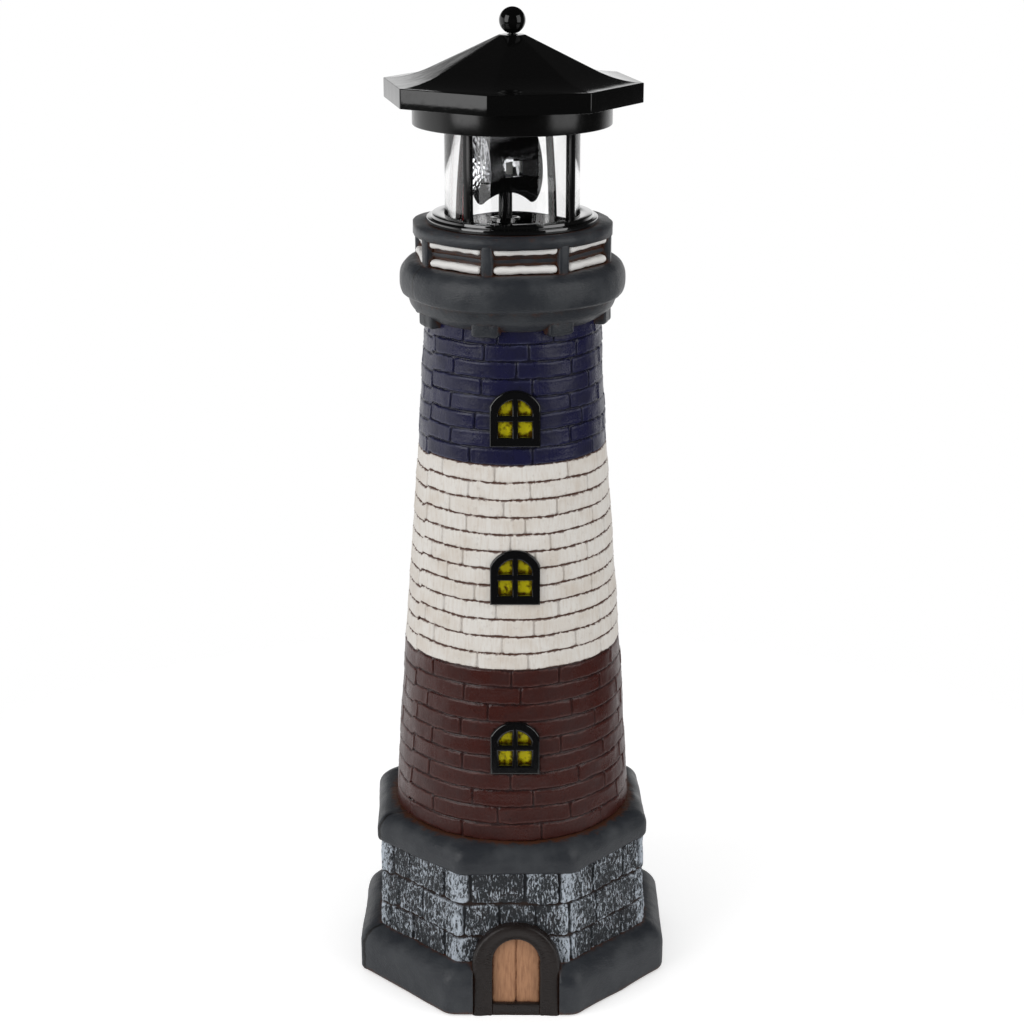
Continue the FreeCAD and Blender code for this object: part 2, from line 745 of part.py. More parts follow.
def finial():
    """Ball on a short neck, with a peg down into the crown."""
    pole = ball_radius * math.sin(math.pi / ball_bands / 2)
    sections = [(pole, ball_z - ball_radius)]
    for i in range(1, ball_bands):
        angle = math.pi * i / ball_bands
        sections.append((ball_radius * math.sin(angle), ball_z - ball_radius * math.cos(angle)))
    sections.append((pole, ball_z + ball_radius))
    peg = small_round(ball_neck_radius, crown_z - ball_peg_length + peg_end_gap, ball_z, AXIS)
    return round_loft(sections, ball_facets).fuse(peg)


# ---------------------------------------------------------------- beacon
def reflector(side):
    """One half of the beacon: a flared skin round a bowl, hollow behind it."""
    skin = []
    for i in range(bowl_bands + 1):
        share = i / bowl_bands
        skin.append((waist_radius + (mouth_radius - waist_radius) * share ** 2, mouth_distance * share))
    rim_radius = mouth_radius - reflector_wall
    bowl = [(bowl_hole_radius, 0)]
    for i in range(bowl_bands + 1):
        share = i / bowl_bands
        bowl.append((bowl_hole_radius + (rim_radius - bowl_hole_radius) * math.sqrt(share),
                     bowl_foot + (mouth_distance - bowl_foot) * share))
    chamber_radius = waist_radius - reflector_wall
    chamber = [(chamber_radius, -1), (chamber_radius, bowl_foot - reflector_wall)]
    shape = round_loft(skin, reflector_facets).cut([
        round_loft(bowl, reflector_facets), round_loft(chamber, reflector_facets)])
    shape.rotate(AXIS, V(0, 1, 0), 90 * side)
    slot = Part.makeBox(lamp_slot_width, 2 * mouth_radius, lamp_slot_height,
                        V(-lamp_slot_width / 2, -mouth_radius, -lamp_slot_height / 2))
    spindle_hole = cylinder(spindle_radius, -2 * waist_radius, 0)
    shape = shape.cut([slot, spindle_hole])
    shape.rotate(AXIS, UP, beacon_turn)
    shape.translate(V(rotor_x, 0, beacon_z))
    return shape


def spindle():
    top = beacon_z - waist_radius + 1.6
    return cylinder(spindle_radius, spindle_z, top, ROTOR_AXIS).cut(
        small_round(spindle_bore, spindle_z - 1, top + 1, ROTOR_AXIS))


# ---------------------------------------------------------------- drive
def gear(teeth, bore, bottom, phase, centre):
    """Spur gear with straight-flanked teeth: one is centred on the phase angle."""
    pitch = tooth_module * teeth / 2
    pitch_angle = 2 * math.pi / teeth
    root = pitch - tooth_dedendum
    tip = pitch + tooth_addendum
    root_half = (tooth_thickness + (tooth_thickness - tooth_tip) * tooth_dedendum / tooth_addendum) / 2 / root
    tip_half = tooth_tip / 2 / tip
    points = []
    for i in range(teeth):
        middle = math.radians(phase) + i * pitch_angle
        for radius, offset in ((root, -root_half), (tip, -tip_half), (tip, tip_half), (root, root_half)):
            angle = middle + offset
            points.append(V(centre.x + radius * math.cos(angle), centre.y + radius * math.sin(angle), bottom))
    body = Part.Face(Part.makePolygon(points + points[:1])).extrude(V(0, 0, gear_thickness))
    return body.cut(cylinder(bore, bottom - 1, bottom + gear_thickness + 1, centre))


def pinion_axis():
    distance = tooth_module * (gear_teeth + pinion_teeth) / 2
    angle = math.radians(pinion_direction)
    return V(rotor_x + distance * math.cos(angle), distance * math.sin(angle), 0)


def spindle_gear():
    gap_towards_pinion = pinion_direction + 180 / gear_teeth
    return gear(gear_teeth, spindle_radius, gear_z, gap_towards_pinion, ROTOR_AXIS)


def motor_pinion():
    """Pinion in one piece with the end of the motor's shaft."""
    centre = pinion_axis()
    shape = gear(pinion_teeth, motor_shaft_radius, gear_z, pinion_direction + 180, centre)
    return shape.fuse(cylinder(motor_shaft_radius, plate_z - 1.0, gear_z + gear_thickness, centre))


def gear_motor():
    centre = pinion_axis()
    body = cylinder(motor_radius, plate_z - motor_height, plate_z, centre)
    return body.cut(cylinder(motor_shaft_radius + running_fit, plate_z - 1.1, plate_z + 1, centre))


def gear_plate():
    """Plate across the housing that carries the motor, the board and the LED's stem."""
    shape = fixed_round(housing_radius - housing_wall, plate_z, plate_top_z)
    shape = shape.fuse(small_round(stem_boss_radius, plate_top_z, stem_boss_top_z, ROTOR_AXIS))
    pegs = [block(board_peg, board_peg, plate_z - board_drop, plate_z, place) for place in board_peg_places()]
    motor = pinion_axis()
    return fuse_all([shape] + pegs).cut([
        wire_slot(plate_z - 1, plate_top_z + 1),
        cylinder(motor_shaft_radius + running_fit, plate_z - 1, plate_top_z + 1, motor),
        small_round(stem_radius, plate_z - 1, stem_boss_top_z + 1, ROTOR_AXIS)])


# ---------------------------------------------------------------- housing
def boss_places():
    return [at_azimuth(boss_circle, azimuth) for azimuth in boss_azimuths]


def lamp_housing():
    shell = fixed_round(housing_radius, cover_top_z, floor_underside_z).cut(
        fixed_round(housing_radius - housing_wall, cover_top_z - 1, floor_underside_z + 1))
    bosses = [small_round(boss_radius, cover_top_z, plate_z, place) for place in boss_places()]
    webs = [radial_block(boss_web, boss_circle, housing_radius - housing_wall / 2, cover_top_z, plate_z,
                         azimuth) for azimuth in boss_azimuths]
    drilled = [small_round(screw_radius, cover_top_z - 1, cover_top_z + screw_length, place)
               for place in boss_places()]
    return fuse_all([shell] + bosses + webs).cut(drilled)


def contact_face():
    return battery_length / 2


def base_cover():
    """Bottom plate with a rib behind each battery contact and a slot for the switch."""
    plate = fixed_round(housing_radius, cover_z, cover_top_z)
    ribs = [block(contact_rib, contact_width, cover_top_z, cover_top_z + contact_height,
                  V(side * (contact_face() + contact_thickness + contact_rib / 2), battery_y, 0))
            for side in (-1, 1)]
    slot_length = knob_size[0] + knob_travel + 2 * knob_clearance
    slot = block(slot_length, knob_size[1] + 2 * knob_clearance, cover_z - 1, cover_top_z + 1,
                 V(0, switch_y, 0))
    holes = [small_round(screw_radius, cover_z - 1, cover_top_z + 1, place) for place in boss_places()]
    return fuse_all([plate] + ribs).cut([slot] + holes)


def screw(place, bottom, clamped):
    """Pan-head screw pointing up through what it clamps, its head under the bottom given."""
    head = small_round(screw_head_radius, bottom - screw_head_height, bottom, place)
    end = bottom + clamped + screw_length - screw_end_gap
    return head.fuse(small_round(screw_radius, bottom, end, place))


def cover_screws():
    return Part.makeCompound([screw(place, cover_z, cover_thickness) for place in boss_places()])


def roof_screws():
    return Part.makeCompound([screw(place, eaves_z, soffit_thickness) for place in roof_screw_places()])


# ---------------------------------------------------------------- electrical parts
def battery():
    body_length = battery_length - battery_nub
    middle = V(-battery_length / 2, battery_y, cover_top_z + battery_lift + battery_radius)
    along = V(1, 0, 0)
    body = Part.makeCylinder(battery_radius, body_length, middle, along)
    nub = Part.makeCylinder(battery_nub_radius, battery_nub, middle + along * body_length, along)
    return body.fuse(nub)


def battery_contact(side):
    return block(contact_thickness, contact_width, cover_top_z, cover_top_z + contact_height,
                 V(side * (contact_face() + contact_thickness / 2), battery_y, 0))


def board_peg_places():
    x, y = board_centre
    reach_x = board_size[0] / 2 - board_peg / 2
    reach_y = board_size[1] / 2 - board_peg / 2
    return [V(x - reach_x, y - reach_y, 0), V(x + reach_x, y + reach_y, 0)]


def circuit_board():
    top = plate_z - board_drop
    bottom = top - board_size[2]
    centre = V(board_centre[0], board_centre[1], 0)
    board = block(board_size[0], board_size[1], bottom, top, centre)
    return board.fuse(block(chip_size[0], chip_size[1], bottom - chip_size[2], bottom, centre))


def slide_switch():
    body = block(switch_size[0], switch_size[1], cover_top_z, cover_top_z + switch_size[2], V(0, switch_y, 0))
    cavity_length = knob_size[0] + knob_travel + 2 * knob_clearance
    cavity = block(cavity_length, knob_size[1] + 2 * knob_clearance, cover_top_z - 1,
                   cover_top_z + knob_inside + knob_clearance, V(0, switch_y, 0))
    return body.cut(cavity)


def switch_knob():
    return block(knob_size[0], knob_size[1], cover_z - knob_below, cover_top_z + knob_inside,
                 V(-knob_travel / 2, switch_y, 0))


def led_stem():
    return small_round(stem_radius, plate_z, beacon_z - led_size[2] / 2, ROTOR_AXIS)


def led():
    return block(led_size[0], led_size[1], beacon_z - led_size[2] / 2, beacon_z + led_size[2] / 2, ROTOR_AXIS)


def bent_wire(points, radius, bend):
    """A wire along straight runs joined by arcs of one bend radius."""
    edges = []
    start = points[0]
    for before, corner, after in zip(points, points[1:], points[2:]):
        incoming = (corner - before).normalize()
        outgoing = (after - corner).normalize()
        half_turn = incoming.getAngle(outgoing) / 2
        setback = bend * math.tan(half_turn)
        first = corner - incoming * setback
        last = corner + outgoing * setback
        inwards = (outgoing - incoming).normalize()
        middle = corner + inwards * (bend / math.cos(half_turn) - bend)
        edges.append(Part.LineSegment(start, first).toShape())
        edges.append(Part.Arc(first, middle, last).toShape())
        start = last
    edges.append(Part.LineSegment(start, points[-1]).toShape())
    foot = points[0]
    corners = polygon_corners(radius, 0, wire_facets, 0)
    section = Part.makePolygon([foot + corner for corner in corners + corners[:1]])
    return Part.Wire(edges).makePipeShell([section], True, False)


def lead(side):
    """A lead from the board, up beside the rear left post, to the back of the solar cell."""
    sideways = at_azimuth(wire_pitch / 2 * side, wire_azimuth - 90)
    foot = at_azimuth(wire_circle, wire_azimuth, plate_z - board_drop) + sideways
    azimuth, tilt, middle = rear_face_frame()
    outwards = at_azimuth(math.sin(tilt), azimuth, math.cos(tilt))
    end = middle - outwards * cell_depth + at_azimuth(wire_spread / 2 * side, azimuth - 90)
    below_cell = end - outwards * (2 * wire_bend)
    turn = V(foot.x, foot.y, below_cell.z - wire_rise - wire_step * (1 + side) / 2)
    return bent_wire([foot, turn, below_cell, end], wire_radius, wire_bend)


# ---------------------------------------------------------------- build
def build():
    parts = {"tower_casting": tower_casting()}
    for name, z in zip(window_names, window_heights):
        parts["window_frame_" + name] = window_frame(z)
        parts["window_pane_" + name] = window_pane(z)
    parts.update({
        "lamp_base": lamp_base(),
        "lens_tube": lens_tube(),
        "lantern_frame": lantern_frame(),
        "roof_shell": roof_shell(),
        "roof_finial": finial(),
        "solar_cell": solar_cell(),
        "roof_screws": roof_screws(),
        "reflector_left": reflector(-1),
        "reflector_right": reflector(1),
        "beacon_spindle": spindle(),
        "spindle_gear": spindle_gear(),
        "motor_pinion": motor_pinion(),
        "gear_motor": gear_motor(),
        "gear_plate": gear_plate(),
        "lamp_housing": lamp_housing(),
        "base_cover": base_cover(),
        "cover_screws": cover_screws(),
        "battery": battery(),
        "battery_contact_left": battery_contact(-1),
        "battery_contact_right": battery_contact(1),
        "circuit_board": circuit_board(),
        "slide_switch": slide_switch(),
        "switch_knob": switch_knob(),
        "led_stem": led_stem(),
        "led": led(),
        "lead_red": lead(-1),
        "lead_black": lead(1),
    })
    return parts


def export(parts):
    os.makedirs("parts", exist_ok=True)
    for name, shape in parts.items():
        shape.exportStep(os.path.join("parts", name + ".step"))
        print(name, "valid" if shape.isValid() else "NOT VALID", len(shape.Solids), "solids",
              round(shape.Volume, 1), "mm3")


export(build())
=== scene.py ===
import math

import bmesh
import bpy
from bpy.props import FloatProperty, FloatVectorProperty, IntProperty, PointerProperty
from mathutils import Matrix, Vector, noise


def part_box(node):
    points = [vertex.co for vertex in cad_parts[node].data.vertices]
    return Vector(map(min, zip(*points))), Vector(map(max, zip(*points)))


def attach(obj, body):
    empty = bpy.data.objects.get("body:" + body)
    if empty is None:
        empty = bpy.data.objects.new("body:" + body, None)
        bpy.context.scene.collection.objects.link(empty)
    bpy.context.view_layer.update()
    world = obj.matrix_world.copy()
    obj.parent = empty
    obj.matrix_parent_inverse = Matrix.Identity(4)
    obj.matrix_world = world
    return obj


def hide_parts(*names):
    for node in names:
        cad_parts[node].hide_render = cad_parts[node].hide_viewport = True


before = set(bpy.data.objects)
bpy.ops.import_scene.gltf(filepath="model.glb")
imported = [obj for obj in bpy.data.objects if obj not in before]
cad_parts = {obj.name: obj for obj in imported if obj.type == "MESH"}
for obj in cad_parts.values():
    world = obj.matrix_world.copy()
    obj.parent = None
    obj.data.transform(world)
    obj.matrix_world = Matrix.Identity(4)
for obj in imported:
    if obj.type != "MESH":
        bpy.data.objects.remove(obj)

bl_info = {
    "name": "Garden Lighthouse",
    "version": (1, 0, 0),
    "blender": (4, 5, 0),
    "location": "3D View > Sidebar > Lighthouse",
    "description": "Dresses the garden lighthouse in painted clay, moulded plastic and chrome",
    "category": "Add Mesh",
}

# Metres, +Z up, the door towards -Y, as in the frame. Azimuths count from the front towards +X.
MM = 0.001
SIDES = 8                       # the plinth, gallery and roof are octagons
SECTOR = 2 * math.pi / SIDES
TO_FLAT = math.cos(SECTOR / 2)  # an octagon's flats lie this share of its corner radius out
SEAM_AZIMUTH = math.radians(-61)  # where the two halves of the mould met on the tower
SEAM = {"foot": math.radians(-66), "ledge": math.radians(-65), "ring": math.radians(-60)}
ROOF_TURN = math.radians(12.2)
FOOT_WALL = 5.6 * MM
CASTING_WALL = 4.9 * MM
noise.seed_set(11)              # without a fixed seed this noise starts from the clock

# What the frame fixes: the lowest and highest corner of each node that a piece is built from.
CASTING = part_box("tower_casting")
LAMP_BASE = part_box("lamp_base")
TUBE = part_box("lens_tube")
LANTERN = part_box("lantern_frame")
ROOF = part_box("roof_shell")
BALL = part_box("roof_finial")
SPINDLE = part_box("beacon_spindle")
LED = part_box("led")
WINDOWS = [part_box("window_frame_" + name) for name in ("lower", "middle", "upper")]


def length(name, millimetres, description):
    return FloatProperty(name=name, description=description, default=millimetres * MM, unit="LENGTH",
                         precision=5)


def angle(name, degrees, description):
    return FloatProperty(name=name, description=description, default=math.radians(degrees), subtype="ANGLE")


def linear(hex_colour):
    """Linear red, green and blue of an sRGB hex colour."""
    parts = [int(hex_colour[i:i + 2], 16) / 255 for i in (0, 2, 4)]
    return [part / 12.92 if part <= 0.04045 else ((part + 0.055) / 1.055) ** 2.4 for part in parts]


def colour(name, hex_colour, description):
    return FloatVectorProperty(name=name, description=description, default=linear(hex_colour),
                               subtype="COLOR", min=0, max=1)


class ClaySizes(bpy.types.PropertyGroup):
    """Sizes of the clay casting, as the frame has them."""
    foot_height: length("Foot height", 18.6, "Height of the rounded octagonal foot")
    foot_round: length("Foot round", 8.0, "Round on the foot's upper edge")
    foot_corner: length("Foot corner round", 7.0, "Round on the foot's upright corners")
    wall_foot: length("Stone wall foot", 54.6, "Corner radius of the stone wall at the foot")
    wall_head: length("Stone wall head", 53.4, "Corner radius of the stone wall under the ledge")
    ledge_bottom: length("Ledge underside", 54.0, "Height of the ledge's underside")
    ledge_top: length("Ledge top", 64.8, "Height of the ledge's top, where the bricks start")
    ledge_radius: length("Ledge radius", 55.0, "Corner radius of the ledge")
    ledge_round: length("Ledge round", 6.0, "Round on the ledge's upper edge")
    ledge_shift: length("Ledge shift", -0.6, "How far the ledge sits off the axis")
    ledge_turn: angle("Ledge turn", 2.5, "How far the ledge sits turned")
    brick_foot: length("Brick foot radius", 44.4, "Radius of the bricks on the ledge")
    red_top: length("Red band top", 130.7, "Height where the red bricks end")
    red_radius: length("Red top radius", 40.1, "Radius there")
    white_top: length("White band top", 205.7, "Height where the white bricks end")
    white_radius: length("White top radius", 34.3, "Radius there")
    blue_top: length("Blue band top", 254.7, "Height where the blue bricks end")
    blue_radius: length("Blue top radius", 31.5, "Radius there")
    brick_joint: length("Brick joint", 0.55, "Half width of the joints between bricks")
    brick_depth: length("Brick joint depth", 0.5, "Depth of the joints between bricks")
    bricks: IntProperty(name="Bricks per course", description="Bricks round the tower", default=10)
    stones: IntProperty(name="Stones per course", description="Stones round the plinth", default=22)
    ring_radius: length("Ring radius", 40.2, "Radius of the heavy ring moulding")
    gallery_turn: angle("Gallery turn", 8.0, "How far the gallery sits turned")
    gallery_radius: length("Gallery radius", 35.7, "Corner radius over the gallery's posts")
    gallery_foot: length("Gallery foot", 272.8, "Height where the gallery stands on the ring")
    cap_radius: length("Cap radius", 37.9, "Corner radius of the gallery's cap, had it sharp corners")
    cap_height: length("Cap height", 4.0, "Height of the gallery's cap")
    rail_height: length("Rail height", 2.7, "Height of the raised rails")
    collar_bore: length("Collar bore", 27.6, "Radius of the bore that takes the lantern")


class ClayColours(bpy.types.PropertyGroup):
    """Paints on the clay casting."""
    slate: colour("Slate grey", "2A2D32", "Foot, ledge, ring and gallery")
    slate_light: colour("Worn slate", "4C4F52", "Where the slate grey is rubbed lighter")
    rust: colour("Rust wash", "4C2C1B", "Brown wash left in the hollows")
    stone_dark: colour("Stone ground", "23262A", "Dark ground of the stone wall")
    stone_light: colour("Stone dry-brush", "B7C0CA", "Pale dry-brushed paint on the stones")
    red: colour("Brick red", "3E1A15", "Lowest band of bricks")
    # Lighter red on the brick lips: rubbed wear and a painted highlight
    red_lip_wear_and_highlight: colour("Worn red", "6A423B", "Rubbed edges of the red bricks")
    red_joint: colour("Red joint", "2C1413", "Joints of the red bricks")
    white: colour("Brick white", "DCD8D2", "Middle band of bricks")
    white_stain: colour("White stain", "BBAA97", "Beige stain on the white bricks")
    white_joint: colour("White joint", "4E2C1E", "Joints of the white bricks")
    blue: colour("Brick blue", "1A1A3A", "Top band of bricks")
    # Lighter blue on the brick lips: rubbed wear and a painted highlight
    blue_lip_wear_and_highlight: colour("Worn blue", "474A68", "Rubbed edges of the blue bricks")
    blue_joint: colour("Blue joint", "111124", "Joints of the blue bricks")
    rail: colour("Rail white", "E4E2DF", "Hand-painted rails of the gallery")
    door: colour("Door tan", "AC7E5C", "The two door leaves")
    door_dark: colour("Door stain", "5E3420", "Brown stain on the door leaves")
    surround: colour("Surround", "1E1816", "Dark brown arch round the door")


class LanternColours(bpy.types.PropertyGroup):
    """Plastics and metals of the lantern and the windows."""
    abs: colour("Black ABS", "090909", "Roof, drum, posts and lamp base")
    chrome: colour("Chrome", "C9CACD", "Vacuum-metallised reflectors")
    pane: colour("Window pane", "F6E818", "Yellow window panes")
    pane_amber: colour("Pane amber", "5A3D0C", "Amber edges of the panes")
    lead: colour("Red lead", "B01320", "PVC sleeve of the red lead")
    cell: colour("Solar cell", "0B1026", "Silicon of the solar cell")


# ---------------------------------------------------------------- nodes
def add(tree, kind, inputs=(), out=0, **settings):
    """Add a node with its settings and inputs, by number or name, and return one of its outputs."""
    node = tree.nodes.new(kind)
    for key, value in settings.items():
        setattr(node, key, value)
    for key, value in inputs.items() if isinstance(inputs, dict) else enumerate(inputs):
        if isinstance(value, bpy.types.NodeSocket):
            tree.links.new(value, node.inputs[key])
        elif value is not None:
            node.inputs[key].default_value = value
    return node.outputs[out] if len(node.outputs) else node


def calc(tree, operation, *values):
    """Arithmetic on sockets and numbers."""
    return add(tree, "ShaderNodeMath", values, operation=operation)


def steer(tree, operation, *values, out=0):
    """Arithmetic on vectors."""
    return add(tree, "ShaderNodeVectorMath", values, out, operation=operation)


def scaled(tree, vector, amount):
    """A vector times a number."""
    return add(tree, "ShaderNodeVectorMath", {0: vector, "Scale": amount}, operation="SCALE")


def remap(tree, *values, **settings):
    """A value carried from one range (2nd and 3rd number) to another (4th and 5th)."""
    return add(tree, "ShaderNodeMapRange", values, **settings)


def smooth(tree, *values):
    """The same with a soft start and end."""
    return remap(tree, *values, interpolation_type="SMOOTHSTEP")


def grain(size):
    """Noise scale that gives spots of about a size in millimetres on Object coordinates."""
    return 1 / (size * MM)


def speckle(tree, spot, size, detail, **more):
    """Noise with spots of about a size in millimetres."""
    return add(tree, "ShaderNodeTexNoise", {"Vector": spot, "Scale": grain(size), "Detail": detail, **more})


def jolt(tree, size, detail, amount, **more):
    """An uneven offset in all directions, from noise with spots of about a size in millimetres."""
    cloud = add(tree, "ShaderNodeTexNoise", {"Scale": grain(size), "Detail": detail, **more}, out=1)
    return scaled(tree, steer(tree, "SUBTRACT", cloud, (0.5, 0.5, 0.5)), amount)


# ---------------------------------------------------------------- materials
PAINT_IOR = 1.46                # acrylic paint


def started(name, **values):
    """A new material with its shader's plain values set, its tree, and Object coordinates."""
    material = bpy.data.materials.new(name)
    material.use_nodes = True
    tree = material.node_tree
    shader = tree.nodes["Principled BSDF"]
    for key, value in values.items():
        socket = shader.inputs[key.replace("_", " ")]
        socket.default_value = (*value, 1) if key.endswith("Color") else value
    return material, tree, add(tree, "ShaderNodeTexCoord", out="Object")


def dressed(material, height, strength, depth, **links):
    """The material with nodes linked to its shader, and relief of a depth in millimetres as a bump."""
    tree = material.node_tree
    links["Normal"] = add(tree, "ShaderNodeBump", {"Strength": strength, "Distance": depth * MM,
                                                   "Height": height})
    for key, socket in links.items():
        tree.links.new(socket, tree.nodes["Principled BSDF"].inputs[key.replace("_", " ")])
    return material


def coat(tree, share, under, over):
    """One paint over another, by a share; a paint is a socket or a linear colour."""
    under, over = (paint if isinstance(paint, bpy.types.NodeSocket) else (*paint, 1)
                   for paint in (under, over))
    return add(tree, "ShaderNodeMix", {0: share, 6: under, 7: over}, out=2, data_type="RGBA")


def stretched(tree, spot, upright):
    """Coordinates for brush strokes: a share under 1 draws them out upwards, over 1 sideways."""
    return add(tree, "ShaderNodeMapping", {"Vector": spot, "Scale": (1.0, 1.0, upright)})


def marks(tree, *labels):
    """The marks that the masonry's tree leaves on its points."""
    return {label: add(tree, "ShaderNodeAttribute", out="Fac", attribute_name=label) for label in labels}


def openness(tree, distance):
    """How open a spot lies, looking a distance in millimetres round it: low in the hollows."""
    return add(tree, "ShaderNodeAmbientOcclusion", {"Distance": distance * MM}, out="AO", samples=6)


def brushed_clay(name, ground, lighter_paint, rust, roughness, rust_reach=3.0, seam=None, washed=None):
    """Acrylic paint brushed over fired clay: a soft sheen, faint streaks, rust-brown in the hollows."""
    material, tree, spot = started(name, IOR=PAINT_IOR)
    cloud = speckle(tree, spot, 9, 5.0)
    paint = coat(tree, remap(tree, cloud, 0.4, 0.8, 0.0, 0.5), ground, lighter_paint)
    speck = speckle(tree, spot, 2.2, 6.0)
    reach = calc(tree, "ADD", openness(tree, rust_reach), speck)
    paint = coat(tree, remap(tree, reach, 0.98, 1.3, 0.95, 0.0), paint, rust)
    if washed is not None:      # rust washed down the wall has pooled round its foot, to this radius
        reach = steer(tree, "LENGTH", steer(tree, "MULTIPLY", spot, (1, 1, 0)), out="Value")
        edge = calc(tree, "MULTIPLY_ADD", speck, 7 * MM, reach)
        pool = remap(tree, edge, washed + 4.2 * MM, washed + 6.2 * MM, 0.9, 0.0)
        paint = coat(tree, pool, paint, rust)
    if seam is not None:        # a dark hairline where the halves of the mould met, at this azimuth
        split = add(tree, "ShaderNodeSeparateXYZ", (spot,))
        turn = calc(tree, "ARCTAN2", split, calc(tree, "MULTIPLY", split.node.outputs["Y"], -1.0))
        wander = calc(tree, "MULTIPLY_ADD", speck, 0.03, seam - 0.015)
        near = calc(tree, "ABSOLUTE", calc(tree, "SUBTRACT", turn, wander))
        paint = coat(tree, remap(tree, near, 0.004, 0.011, 0.95, 0.0), paint, (0.006, 0.005, 0.005))
    sheen = remap(tree, cloud, 0.3, 0.7, roughness - 0.08, roughness + 0.1)
    brush = speckle(tree, stretched(tree, spot, 3.5), 1.3, 6.0)
    pitted = calc(tree, "MULTIPLY_ADD", speck, 0.8, brush)
    return dressed(material, pitted, 0.55, 0.3, Base_Color=paint, Roughness=sheen)


def painted_bricks(name, face, lighter_paint, joint, stain, stained, roughness, covered, drips):
    """Acrylic paint over cast clay bricks: lips lightened partly by rubbing and partly as a painted
    highlight, a darker wash in the joints, fine brush lines.
    """
    material, tree, spot = started(name, IOR=PAINT_IOR)
    mark = marks(tree, "face", "lip", "bed", "tone")
    cloud = speckle(tree, spot, 11, 6.0)
    rub = speckle(tree, spot, 1.6, 6.0)
    patch = calc(tree, "MULTIPLY_ADD", mark["tone"], 0.15, cloud)
    paint = coat(tree, remap(tree, patch, 0.5, 0.85, 0.0, stained), face, stain)
    bristle = speckle(tree, stretched(tree, spot, 0.12), 0.8, 4.0)
    paint = coat(tree, remap(tree, bristle, 0.45, 0.7, 0.0, drips), paint, stain)
    # The lips take the lighter paint in broken streaks, more along the bed joints: partly rubbed wear, partly
    # a painted highlight
    lip_wear_and_highlight_breaks = remap(tree, calc(tree, "MULTIPLY_ADD", rub, 0.8, cloud), 0.82, 1.0, 0.0, 1.0)
    lip_wear_and_highlight_share = remap(tree, mark["bed"], 0.0, 1.0, 0.35, 0.8)
    edge = calc(tree, "MULTIPLY", calc(tree, "MULTIPLY", mark["lip"], lip_wear_and_highlight_breaks), lip_wear_and_highlight_share)
    paint = coat(tree, edge, paint, lighter_paint)
    sunk = calc(tree, "SUBTRACT", 1.0, mark["face"])
    upright = remap(tree, mark["bed"], 0.0, 1.0, 1.0 - covered, 1.0)
    ragged = calc(tree, "ADD", sunk, calc(tree, "MULTIPLY_ADD", rub, 3.0, -1.5))
    dark = calc(tree, "MULTIPLY", remap(tree, ragged, 0.28, 0.75, 0.0, 1.0), upright)
    paint = coat(tree, dark, paint, joint)
    sheen = remap(tree, cloud, 0.3, 0.7, roughness - 0.08, roughness + 0.12)
    clay = speckle(tree, spot, 0.9, 8.0, Roughness=0.65)
    rough = calc(tree, "MULTIPLY_ADD", cloud, 3.0, calc(tree, "MULTIPLY_ADD", bristle, 0.6, clay))
    return dressed(material, rough, 0.5, 0.25, Base_Color=paint, Roughness=sheen)


def dry_brushed_stone(name, ground, pale, rust):
    """Dark paint with a nearly dry pale brush drawn down it: only high spots and corners are white."""
    material, tree, spot = started(name, IOR=PAINT_IOR)
    mark = marks(tree, "face", "lip", "tone", "bed", "corner")
    bristle = speckle(tree, stretched(tree, spot, 0.33), 0.7, 8.0, Roughness=0.72, Distortion=0.8)
    patch = speckle(tree, spot, 6, 3.0)
    load = smooth(tree, mark["corner"], 0.72, 1.0, 0.0, 0.09)
    for cause, weight in ((mark["tone"], 0.04), (patch, 0.2), (mark["lip"], 0.04)):
        load = calc(tree, "MULTIPLY_ADD", cause, weight, load)
    brushed = remap(tree, calc(tree, "ADD", bristle, load), 0.655, 0.72, 0.0, 0.95)
    kept = calc(tree, "MULTIPLY", brushed, mark["face"])
    paint = coat(tree, remap(tree, patch, 0.5, 0.7, 0.0, 0.4), ground, rust)
    sunk = calc(tree, "SUBTRACT", 1.0, mark["face"])
    paint = coat(tree, calc(tree, "MULTIPLY", sunk, mark["bed"]), paint, rust)
    paint = coat(tree, kept, paint, pale)
    sheen = remap(tree, patch, 0.3, 0.7, 0.5, 0.75)
    return dressed(material, bristle, 0.9, 0.45, Base_Color=paint, Roughness=sheen)


def moulded_plastic(name, tint, roughness, ripple, **more):
    """Injection-moulded plastic: an even colour with a slightly rippled, scuffed gloss."""
    material, tree, spot = started(name, Base_Color=tint, Roughness=roughness, **more)
    wave = speckle(tree, spot, 7, 3.0)
    dust = speckle(tree, spot, 1.6, 7.0)
    sheen = remap(tree, dust, 0.5, 0.85, roughness, roughness + 0.1)
    return dressed(material, wave, ripple, 0.15, Roughness=sheen)


def metallised(name, tint, roughness, dimple):
    """Bright metal on moulded plastic: mirror gloss over dimples of about a millimetre and a half."""
    material, tree, spot = started(name, Base_Color=tint, Metallic=1.0, Roughness=roughness)
    cells = add(tree, "ShaderNodeTexVoronoi", {"Vector": spot, "Scale": grain(1.5)})
    return dressed(material, cells, dimple, 0.5)


def stained_pane(name, tint, amber):
    """Translucent yellow resin poured unevenly: clear yellow with amber clouds towards its edges."""
    material, tree, spot = started(name, Roughness=0.12, IOR=1.5)
    cloud = speckle(tree, spot, 1.9, 4.0)
    thin = calc(tree, "MULTIPLY_ADD", openness(tree, 1.6), -0.55, cloud)
    paint = coat(tree, remap(tree, thin, 0.0, 0.2, 0.0, 1.0), tint, amber)
    return dressed(material, cloud, 0.6, 0.5, Base_Color=paint)


